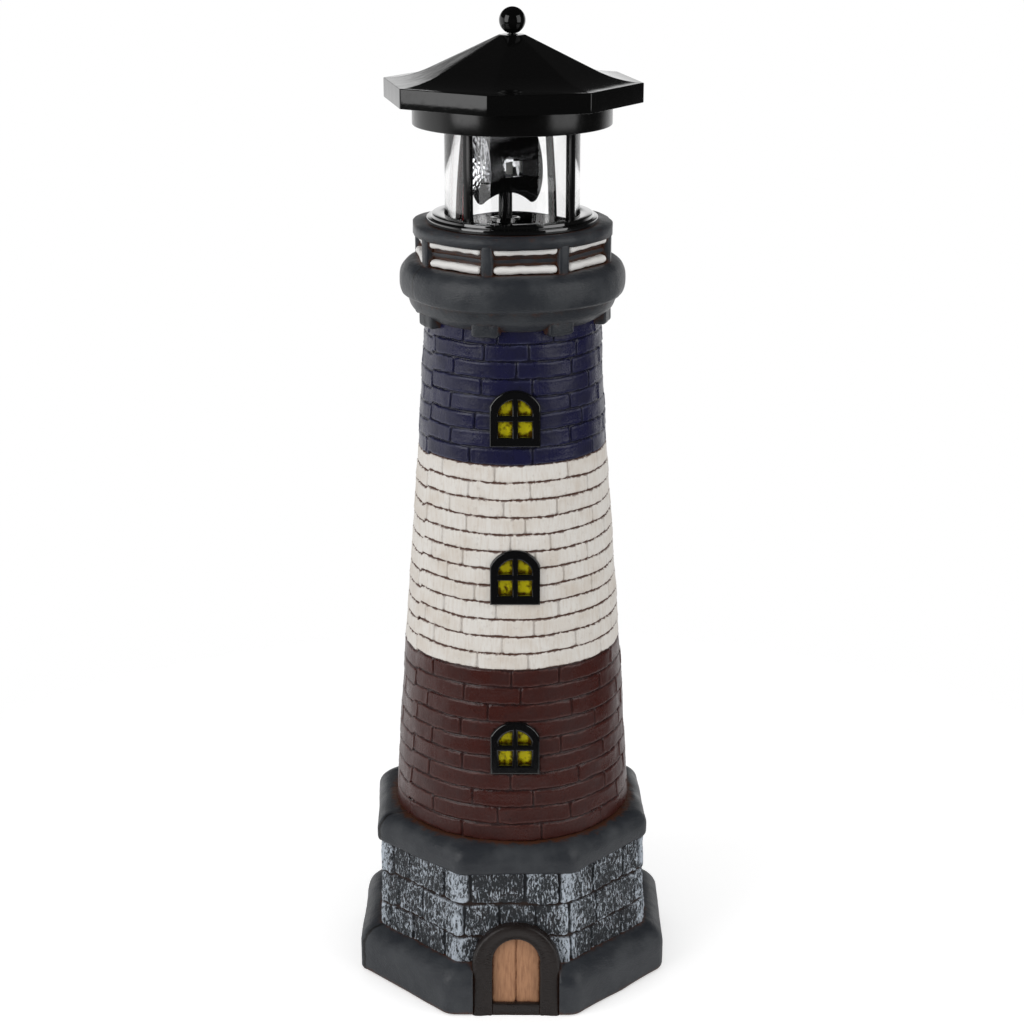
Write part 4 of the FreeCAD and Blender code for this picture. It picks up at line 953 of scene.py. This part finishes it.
# ---------------------------------------------------------------- door and windows
DOOR_X = 1.4 * MM
DOOR_LEAN = math.radians(7.5)
DOOR_FRONT = CASTING[1].x - 0.35 * MM      # the surround's foot, just behind the foot's face
SILL = 4.7 * MM
SURROUND = (32.8 * MM, 35.4 * MM, 15.8 * MM)    # width, height and rise of the arch
DOORWAY = (17.4 * MM, 29.6 * MM, 7.8 * MM)


def arch_points(width, height, rise, sill=0.0, steps=24):
    """Points of an arched outline (x, z), from one foot over the head to the other."""
    half = width / 2
    radius = (half ** 2 + rise ** 2) / (2 * rise)
    reach = math.asin(min(1, half / radius)) if rise <= half else math.pi - math.asin(half / radius)
    spring = height - rise
    points = [(half, sill + (spring - sill) * i / 6) for i in range(6)]
    for i in range(steps + 1):
        swing = reach * (1 - 2 * i / steps)
        points.append((radius * math.sin(swing), height - radius * (1 - math.cos(swing))))
    return points + [(-half, spring - (spring - sill) * (i + 1) / 6) for i in range(6)]


def on_door(x, depth, z):
    """A point of the leaning door, at a depth behind its front."""
    tilt = Matrix.Rotation(-DOOR_LEAN, 3, "X")
    return tilt @ Vector((x, depth, z)) + Vector((DOOR_X, -DOOR_FRONT, 0))


def door_slab(name, margin, front, back):
    """A closed arched slab that follows the surround's outline."""
    width, height, rise = SURROUND
    outline = arch_points(width - 2 * margin, height - margin, rise, -8 * MM)
    rings = [[on_door(x, depth, z) for x, z in outline] for depth in (front, back)]
    shape = bmesh.new()
    loops = [[shape.verts.new(point) for point in ring] for ring in rings]
    shape.faces.new(loops[0])
    shape.faces.new(loops[1][::-1])
    for i in range(len(outline)):
        shape.faces.new((loops[0][i - 1], loops[0][i], loops[1][i], loops[1][i - 1]))
    bmesh.ops.recalc_face_normals(shape, faces=shape.faces)
    return stored(shape, bpy.data.meshes.new(name))


class LIGHTHOUSE_OT_door(bpy.types.Operator):
    """Build the arched surround, its threshold and the two door leaves"""
    bl_idname = "lighthouse.door"
    bl_label = "Door"

    def execute(self, context):
        paints = context.scene.lighthouse_paints
        dark = brushed_clay("surround_acrylic", paints.surround, linear("2C2422"), linear("2C1B13"), 0.3, 1.4)
        inner, outer = arch_points(*DOORWAY), arch_points(*SURROUND)
        # Across the surround: a share from the inner to the outer outline, and a depth behind the front
        section = ((0.0, 3.4), (0.0, 0.9), (0.03, 0.45), (0.08, 0.2), (0.14, 0.2), (0.22, 0.35), (0.4, 0.15),
                   (0.6, 0.0), (0.8, 0.05), (0.9, 0.3), (0.96, 0.8), (1.0, 1.6), (1.0, 9.0))
        rings = []
        for share, depth in section:
            ring = [on_door(a[0] + (b[0] - a[0]) * share, depth * MM, a[1] + (b[1] - a[1]) * share)
                    for a, b in zip(inner, outer)]
            rings.append([uneven(Vector((p.x, max(p.y, -CASTING[1].x + 0.3 * MM), max(p.z, 0))), 0.2 * MM)
                          for p in ring])
        mesh = mesh_of("surround", rings, closed=False, around=False)
        for vertex in mesh.vertices:
            vertex.co.z = max(vertex.co.z, 0)
        cast("door_surround", mesh, dark)
        step = rounded_box("threshold", (-8.9 * MM, 0.7 * MM, -1 * MM), (8.9 * MM, 6 * MM, SILL - 0.1 * MM),
                           0.5 * MM, 3, 8)
        for vertex in step.vertices:
            vertex.co = uneven(on_door(*vertex.co), 0.25 * MM)
            vertex.co.z = max(vertex.co.z, 0)
        cast("door_threshold", step, dark)

        columns, rows = 61, 60
        width, height, rise = DOORWAY
        half = width / 2
        radius = (half ** 2 + rise ** 2) / (2 * rise)
        rings = []
        for row in range(rows + 1):
            ring = []
            for column in range(columns):
                x = half * (2 * column / (columns - 1) - 1)
                head = height - radius + math.sqrt(max(radius ** 2 - x ** 2, 0))
                z = SILL - 0.4 * MM + (head + 0.3 * MM - SILL) * row / rows
                depth = 3.0 * MM - 0.35 * MM * math.sqrt(abs(math.sin(math.pi * x / half)))
                depth += 0.7 * MM * math.exp(-(x / (0.35 * MM)) ** 2)
                ring.append(uneven(on_door(x, depth, z), 0.25 * MM, 6 * MM))
            rings.append(ring)
        mesh = mesh_of("leaves", rings, closed=False, around=False)
        tan = wood_grained_paint("door_acrylic_tan", paints.door, paints.door_dark)
        cast("door_leaves", mesh, tan)
        return {"FINISHED"}


def window_shape():
    """The arched frame with its four lights, standing in the XZ plane about its middle."""
    width, height, rise, thickness, bevel = (size * MM for size in (17.8, 20.2, 5.6, 3.4, 0.75))
    curve = bpy.data.curves.new("window", "CURVE")
    curve.dimensions = "2D"
    curve.fill_mode = "BOTH"
    curve.extrude = thickness / 2 - bevel
    curve.bevel_depth = bevel
    curve.bevel_resolution = 5
    curve.offset = -bevel
    head, foot = height / 2, -height / 2
    arch = ((width / 2) ** 2 + rise ** 2) / (2 * rise)
    inner = arch - 3.5 * MM
    side, bar, rail, sill = 5.9 * MM, 1.05 * MM, 1.15 * MM, foot + 3.4 * MM
    outlines = [[(x, z + foot) for x, z in arch_points(width, height, rise)]]
    for way in (-1, 1):
        steps = [bar + (side - bar) * i / 8 for i in range(9)]
        curved = [(way * x, head - arch + math.sqrt(inner ** 2 - x ** 2)) for x in steps]
        outlines.append([(way * bar, rail)] + curved + [(way * side, rail)])
        outlines.append([(way * bar, -rail), (way * side, -rail), (way * side, sill), (way * bar, sill)])
    for outline in outlines:
        spline = curve.splines.new("POLY")
        spline.points.add(len(outline) - 1)
        for point, (x, z) in zip(spline.points, outline):
            point.co = (x, z, 0, 1)
        spline.use_cyclic_u = True
    holder = linked("window", curve)
    mesh = baked(holder)
    bpy.data.objects.remove(holder)
    mesh.transform(Matrix.Rotation(math.pi / 2, 4, "X"))
    return mesh


class LIGHTHOUSE_OT_windows(bpy.types.Operator):
    """Build the glossy window frames and finish their panes"""
    bl_idname = "lighthouse.windows"
    bl_label = "Windows"

    def execute(self, context):
        colours = context.scene.lighthouse_lantern
        gloss = moulded_plastic("gloss_black_resin", linear("0B0B0C"), 0.12, 0.5, Coat_Weight=0.6,
                                Coat_Roughness=0.05)
        yellow = stained_pane("yellow_resin_pane", colours.pane, colours.pane_amber)
        shape = window_shape()
        for name, (low, high) in zip(("lower", "middle", "upper"), WINDOWS):
            mesh = shape.copy()
            lean = math.radians(3.4 if name != "middle" else 4.2)
            middle = (low + high) / 2
            mesh.transform(Matrix.Translation(middle) @ Matrix.Rotation(-lean, 4, "X"))
            mesh.name = "frame_" + name
            mesh.shade_smooth()
            mesh.set_sharp_from_angle(angle=math.radians(50))
            place("frame_" + name, mesh, gloss, "tower", "window_frame_" + name)
            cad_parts["window_pane_" + name].material_slots[0].material = yellow
        return {"FINISHED"}


# ---------------------------------------------------------------- the lantern
class LIGHTHOUSE_OT_lamp_base(bpy.types.Operator):
    """Build the flange, the glossy deck, the sunk floor and the spindle's hub"""
    bl_idname = "lighthouse.lamp_base"
    bl_label = "Lamp base"

    def execute(self, context):
        colours = context.scene.lighthouse_lantern
        gloss = moulded_plastic("black_abs_polished", colours.abs, 0.06, 0.1, IOR=1.6, Coat_Weight=1.0,
                                Coat_IOR=1.7, Coat_Roughness=0.03)
        flange, deck = LAMP_BASE[1].x, LAMP_BASE[1].x - 1.8 * MM
        low, top = LAMP_BASE[0].z, LAMP_BASE[1].z
        floor = TUBE[0].z
        deck_top = floor + 5.2 * MM
        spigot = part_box("lamp_housing")[1].x
        well = TUBE[1].x + 0.15 * MM
        seat = CASTING[1].z
        profile = [(0, low), (spigot, low), (spigot, seat), (flange, seat), (flange, seat + 1.9 * MM),
                   (deck, seat + 1.9 * MM), (deck, deck_top), (well, deck_top), (well, floor), (0, floor)]
        mesh = turned("lamp_base", eased(profile, 0.35 * MM), segments=160)
        moulded("lamp_base_moulding", mesh, gloss, "lamp_base")
        centre = ((SPINDLE[0].x + SPINDLE[1].x) / 2, 0)
        hub = [(2.45 * MM, floor - 0.5 * MM), (5.2 * MM, floor - 0.5 * MM), (5.2 * MM, top), (4.0 * MM, top),
               (4.0 * MM, top - 2.6 * MM), (2.45 * MM, top - 2.6 * MM)]
        mesh = turned("hub", eased(hub, 0.25 * MM), centre, 64)
        moulded("spindle_hub", mesh, gloss, "lamp_base")
        return {"FINISHED"}


class LIGHTHOUSE_OT_lantern(bpy.types.Operator):
    """Build the clear tube, the drum with its soffit, and the four posts"""
    bl_idname = "lighthouse.lantern"
    bl_label = "Tube, drum and posts"

    def execute(self, context):
        colours = context.scene.lighthouse_lantern
        black = moulded_plastic("black_abs_moulded", colours.abs, 0.2, 0.3)
        clear = bpy.data.materials.new("clear_acrylic")
        clear.use_nodes = True
        shader = clear.node_tree.nodes["Principled BSDF"]
        for key, value in (("Base Color", (1, 1, 1, 1)), ("Roughness", 0.0), ("IOR", 1.49),
                           ("Transmission Weight", 1.0)):
            shader.inputs[key].default_value = value
        radius, wall = TUBE[1].x, 1.5 * MM
        profile = [(radius - wall, TUBE[0].z), (radius, TUBE[0].z), (radius, TUBE[1].z),
                   (radius - wall, TUBE[1].z)]
        mesh = turned("tube", eased(profile, 0.2 * MM, 2), segments=160)
        place("clear_tube", mesh, clear, "lantern", "lens_tube")

        drum_z = TUBE[1].z - 1.0 * MM
        eaves = ROOF[0].z
        drum = 35.0 * MM
        profile = [(0, drum_z), (drum, drum_z), (drum, eaves), (0, eaves)]
        mesh = turned("drum", eased(profile, 0.5 * MM), segments=160)
        moulded("drum", mesh, black, "lantern_frame")
        low, high, corner, hole = eaves + 0.02 * MM, eaves + 1.4 * MM, 43.9 * MM, 20 * MM
        turns = [2 * math.pi * i / 128 for i in range(128)]
        plans = [[plan_radius(turn, corner, 0.3 * MM, 0) for turn in turns], [hole] * len(turns)]
        rings = [[on_axis(radius, turn + ROOF_TURN, z) for radius, turn in zip(plan, turns)]
                 for plan, z in ((plans[1], low), (plans[0], low), (plans[0], high), (plans[1], high))]
        moulded("soffit", mesh_of("soffit", rings), black, "lantern_frame")
        post = rounded_box("lantern_post", (-1.4 * MM, -26.25 * MM, LANTERN[0].z),
                           (1.4 * MM, -24.05 * MM, drum_z + 0.5 * MM), 0.25 * MM, 2)
        mesh = repeated("lantern_posts", post, 4, math.radians(-37), 0.0, black)
        moulded("lantern_posts", mesh, None, "lantern_frame")
        return {"FINISHED"}


class LIGHTHOUSE_OT_roof(bpy.types.Operator):
    """Build the swept eight-sided roof and the ball on its crown"""
    bl_idname = "lighthouse.roof"
    bl_label = "Roof"

    def execute(self, context):
        colours = context.scene.lighthouse_lantern
        black = moulded_plastic("black_abs_roof", colours.abs, 0.09, 0.35)
        eaves, crown = ROOF[0].z, ROOF[1].z
        # Upright fascia, then a sweep that flattens at the knee and runs straight up to the crown
        top, knee_z, corner, knee, tip = eaves + 6.8 * MM, crown - 11.5 * MM, 45.95 * MM, 29.0 * MM, 4.6 * MM
        outline = [(corner, eaves), (corner, top)]
        run = corner - knee
        slope = (crown - knee_z) / (knee - tip)
        for i in range(1, 17):
            share = i / 16
            bend = (knee_z - top) * (3 - 2 * share) * share ** 2 - slope * run * (1 - share) * share ** 2
            outline.append((corner - run * share, top + bend))
        outline += [(17 * MM, crown - slope * 12.4 * MM), (tip, crown), (0.01 * MM, crown)]
        wall = 1.6 * MM
        inner = corner - wall / TO_FLAT
        under = [(max(radius - (0 if radius < 40 * MM else wall / TO_FLAT), 0.01 * MM), z - wall)
                 for radius, z in outline[::-1][:-2]]
        profile = eased(outline, 0.3 * MM) + under + [(inner, top - wall), (inner, eaves)]
        azimuths = []
        edge = math.radians(0.9)        # half of the part of each sector that the hip's rounding takes
        for side in range(SIDES):
            stops = [-SECTOR / 2 + edge + (SECTOR - 2 * edge) * i / 6 for i in range(7)]
            stops += [SECTOR / 2 - edge + 2 * edge * i / 6 for i in range(1, 6)]
            azimuths += [side * SECTOR + stop for stop in stops]
        rings = [[on_axis(plan_radius(azimuth, radius, min(0.9 * MM, radius / 3), 0),
                          azimuth + ROOF_TURN, z) for azimuth in azimuths] for radius, z in profile]
        mesh = mesh_of("roof", rings)
        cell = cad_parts["solar_cell"].data.copy()
        shape = opened(cell)
        bmesh.ops.remove_doubles(shape, verts=shape.verts, dist=1e-6)
        shape.normal_update()
        for vertex in shape.verts:
            vertex.co += vertex.normal * 0.15 * MM
        mesh = cut(mesh, stored(shape, cell))
        mesh.shade_smooth()
        mesh.set_sharp_from_angle(angle=math.radians(32))
        moulded("roof", mesh, black, "roof_shell")

        radius = (BALL[1].z - crown - 0.2 * MM) / 2
        middle = BALL[1].z - radius
        ball = [(radius * math.sin(math.pi * i / 40), middle - radius * math.cos(math.pi * i / 40))
                for i in range(3, 41)]
        neck = 1.9 * MM
        profile = [(0, crown - 3.5 * MM), (neck, crown - 3.5 * MM), (neck, crown + 0.1 * MM)]
        mesh = turned("ball", profile + [point for point in ball if point[1] > crown + 0.2 * MM], segments=48)
        moulded("finial", mesh, black, "roof_finial")
        return {"FINISHED"}


class LIGHTHOUSE_OT_beacon(bpy.types.Operator):
    """Build the two chromed reflectors, back to back on their spindle"""
    bl_idname = "lighthouse.beacon"
    bl_label = "Beacon"

    def execute(self, context):
        colours = context.scene.lighthouse_lantern
        bright = metallised("chrome_on_abs", colours.chrome, 0.05, 0.06)
        hammered = metallised("chrome_on_abs_hammered", colours.chrome, 0.08, 0.6)
        mouth, waist, reach, wall = 11.0 * MM, 7.9 * MM, 9.6 * MM, 0.8 * MM
        middle = (LED[0] + LED[1]) / 2
        skin = [(waist + (mouth - waist) * (i / 12) ** 2, reach * i / 12) for i in range(13)]
        rim = mouth - wall
        bowl = [(rim * math.sqrt(1 - i / 14), reach - (reach - 4.6 * MM) * i / 14) for i in range(12)]
        profile = skin + [((mouth + rim) / 2, reach + 0.25 * MM)] + bowl + [
            (4.3 * MM, 4.2 * MM), (4.3 * MM, 3.6 * MM), (waist - wall, 3.6 * MM), (waist - wall, 0)]
        for name, way in (("left", -1), ("right", 1)):
            mesh = turned("reflector", profile, segments=96)
            mesh.transform(Matrix.Rotation(math.pi / 2 * way, 4, "Y"))
            slot = box_mesh("slot", (-3.1 * MM, -20 * MM, -2.3 * MM), (3.1 * MM, 20 * MM, 2.3 * MM))
            hole = turned("hole", [(0, -20 * MM), (2.4 * MM, -20 * MM), (2.4 * MM, 0), (0, 0)], segments=32)
            mesh = cut(mesh, slot, hole)
            mesh.materials.clear()
            mesh.materials.append(bright)
            mesh.materials.append(hammered)
            for face in mesh.polygons:
                distance = math.hypot(face.center.y, face.center.z)
                inside = abs(face.center.x) > 4 * MM and distance < rim - 0.1 * MM
                face.material_index = 1 if inside and face.normal.x * way > 0.05 else 0
            mesh.transform(Matrix.Translation(middle) @ Matrix.Rotation(math.radians(22), 4, "Z"))
            mesh.shade_smooth()
            mesh.set_sharp_from_angle(angle=math.radians(35))
            place("beacon_" + name, mesh, None, "beacon", "reflector_" + name)
        return {"FINISHED"}


class LIGHTHOUSE_OT_works(bpy.types.Operator):
    """Finish the parts inside the lantern, whose shapes come from the frame"""
    bl_idname = "lighthouse.works"
    bl_label = "Works of the lantern"

    def execute(self, context):
        colours = context.scene.lighthouse_lantern
        finishes = {
            "black_abs_plain": (colours.abs, 0.3, ("gear_plate", "lamp_housing", "base_cover"), {}),
            "black_acetal": (linear("101011"), 0.2, ("beacon_spindle", "switch_knob"), {}),
            "white_acetal": (linear("DAD8D0"), 0.4, ("spindle_gear", "motor_pinion"), {}),
            "zinc_plated_steel": (linear("A9ACB0"), 0.3, ("cover_screws", "roof_screws"), {"Metallic": 1.0}),
            "drawn_steel": (linear("B4B6B8"), 0.28, ("gear_motor", "slide_switch"), {"Metallic": 1.0}),
            "nickel_plated_steel": (linear("BDB9AE"), 0.22, ("battery_contact_left", "battery_contact_right"),
                                    {"Metallic": 1.0}),
            "heat_shrunk_sleeve": (linear("2E7A3C"), 0.25, ("battery",), {}),
            "solder_mask_green": (linear("14502A"), 0.3, ("circuit_board",), {"Coat_Weight": 0.5}),
            "led_resin": (linear("EFEFEA"), 0.15, ("led",), {}),
            "chromed_stem": (colours.chrome, 0.1, ("led_stem",), {"Metallic": 1.0}),
            "red_pvc_sleeve": (colours.lead, 0.35, ("lead_red",), {}),
            "black_pvc_sleeve": (linear("151515"), 0.35, ("lead_black",), {}),
            "monocrystalline_cell": (colours.cell, 0.08, ("solar_cell",), {"Coat_Weight": 1.0}),
        }
        for name, (tint, roughness, nodes, more) in finishes.items():
            material = moulded_plastic(name, tint, roughness, 0.2, **more)
            for node in nodes:
                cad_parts[node].material_slots[0].material = material
        return {"FINISHED"}


# ---------------------------------------------------------------- stage
class LIGHTHOUSE_OT_stage(bpy.types.Operator):
    """Set the floor, the soft studio lights and the camera"""
    bl_idname = "lighthouse.stage"
    bl_label = "Stage"

    def execute(self, context):
        scene = context.scene
        paper, tree, spot = started("white_studio_paper", Base_Color=linear("F0F0F0"), Roughness=0.9,
                                    Emission_Color=(1, 1, 1))
        shader = tree.nodes["Principled BSDF"]
        fade = remap(tree, steer(tree, "LENGTH", spot, out="Value"), 0.12, 0.34, 1.0, 0.0)
        tree.links.new(fade, shader.inputs["Alpha"])
        eye = add(tree, "ShaderNodeLightPath", out="Is Camera Ray")
        tree.links.new(calc(tree, "MULTIPLY", eye, 0.42), shader.inputs["Emission Strength"])
        floor = bpy.data.meshes.new("floor")
        floor.from_pydata([(-3, -3, 0), (3, -3, 0), (3, 3, 0), (-3, 3, 0)], [], [(0, 1, 2, 3)])
        floor.materials.append(paper)
        ground = linked("studio_floor", floor)

        world = bpy.data.worlds.new("studio")
        world.use_nodes = True
        scene.world = world
        tree = world.node_tree
        # White behind the ornament; its gloss and the clear tube see dark walls before a bright rear wall
        ray = add(tree, "ShaderNodeLightPath").node.outputs
        mirrored = calc(tree, "MAXIMUM", ray["Is Glossy Ray"], ray["Is Transmission Ray"])
        view = add(tree, "ShaderNodeTexCoord", out="Generated")
        way = add(tree, "ShaderNodeSeparateXYZ", (view,)).node.outputs
        below = smooth(tree, way["Z"], 0.17, 0.23, 1.0, 0.02)
        away = calc(tree, "MULTIPLY_ADD", way["X"], -0.5, way["Y"])
        behind = smooth(tree, away, 0.0, 0.6, 0.02, 1.0)
        walls = calc(tree, "MULTIPLY", below, behind)
        level = add(tree, "ShaderNodeMix", {0: mirrored, 2: 0.62, 3: walls})
        level = add(tree, "ShaderNodeMix", {0: ray["Is Camera Ray"], 2: level, 3: 1.0})
        tree.links.new(level, tree.nodes["Background"].inputs["Strength"])
        tree.nodes["Background"].inputs["Color"].default_value = (1, 1, 1, 1)

        lamps = (("left_softbox", (-0.75, -0.55, 0.55), (0.6, 0.9), 4.4),
                 ("right_softbox", (0.8, -0.45, 0.5), (0.6, 0.9), 2.8))
        for name, spot, size, watts in lamps:
            lamp = bpy.data.lights.new(name, "AREA")
            lamp.shape = "RECTANGLE"
            lamp.size, lamp.size_y = size
            lamp.energy = watts
            holder = linked(name, lamp)
            holder.location = spot
            holder.rotation_euler = (Vector((0, 0, 0.18)) - Vector(spot)).to_track_quat("-Z", "Y").to_euler()

        # The camera that was fitted to the photo
        lens = bpy.data.cameras.new("studio_camera")
        lens.sensor_width = 36.0
        lens.lens = 73.63
        camera = linked("studio_camera", lens)
        camera.location = (-0.0001, -0.73607, 0.41952)
        camera.rotation_euler = (math.radians(71.8), 0, 0)
        scene.camera = camera
        scene.view_settings.view_transform = "Standard"
        return {"FINISHED"}


# ---------------------------------------------------------------- add-on
OPERATORS = (LIGHTHOUSE_OT_stage, LIGHTHOUSE_OT_plinth, LIGHTHOUSE_OT_masonry, LIGHTHOUSE_OT_ring,
             LIGHTHOUSE_OT_gallery, LIGHTHOUSE_OT_hollow, LIGHTHOUSE_OT_door, LIGHTHOUSE_OT_windows,
             LIGHTHOUSE_OT_lamp_base, LIGHTHOUSE_OT_lantern, LIGHTHOUSE_OT_roof, LIGHTHOUSE_OT_beacon,
             LIGHTHOUSE_OT_works)
SETTINGS = (("lighthouse_clay", ClaySizes), ("lighthouse_paints", ClayColours),
            ("lighthouse_lantern", LanternColours))


class LIGHTHOUSE_PT_build(bpy.types.Panel):
    """Lists the steps of the build in the sidebar"""
    bl_idname = "LIGHTHOUSE_PT_build"
    bl_label = "Garden Lighthouse"
    bl_space_type = "VIEW_3D"
    bl_region_type = "UI"
    bl_category = "Lighthouse"

    def draw(self, context):
        for operator in OPERATORS:
            self.layout.operator(operator.bl_idname)


def register():
    for name, group in SETTINGS:
        bpy.utils.register_class(group)
        setattr(bpy.types.Scene, name, PointerProperty(type=group))
    for operator in OPERATORS:
        bpy.utils.register_class(operator)
    bpy.utils.register_class(LIGHTHOUSE_PT_build)


def unregister():
    bpy.utils.unregister_class(LIGHTHOUSE_PT_build)
    for operator in OPERATORS[::-1]:
        bpy.utils.unregister_class(operator)
    for name, group in SETTINGS[::-1]:
        delattr(bpy.types.Scene, name)
        bpy.utils.unregister_class(group)


def main():
    register()
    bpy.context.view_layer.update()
    bpy.ops.lighthouse.stage()
    bpy.ops.lighthouse.plinth()
    bpy.ops.lighthouse.masonry()
    bpy.ops.lighthouse.ring()
    bpy.ops.lighthouse.gallery()
    bpy.ops.lighthouse.hollow()
    bpy.ops.lighthouse.door()
    bpy.ops.lighthouse.windows()
    bpy.ops.lighthouse.lamp_base()
    bpy.ops.lighthouse.lantern()
    bpy.ops.lighthouse.roof()
    bpy.ops.lighthouse.beacon()
    bpy.ops.lighthouse.works()


if __name__ == "__main__":
    main()
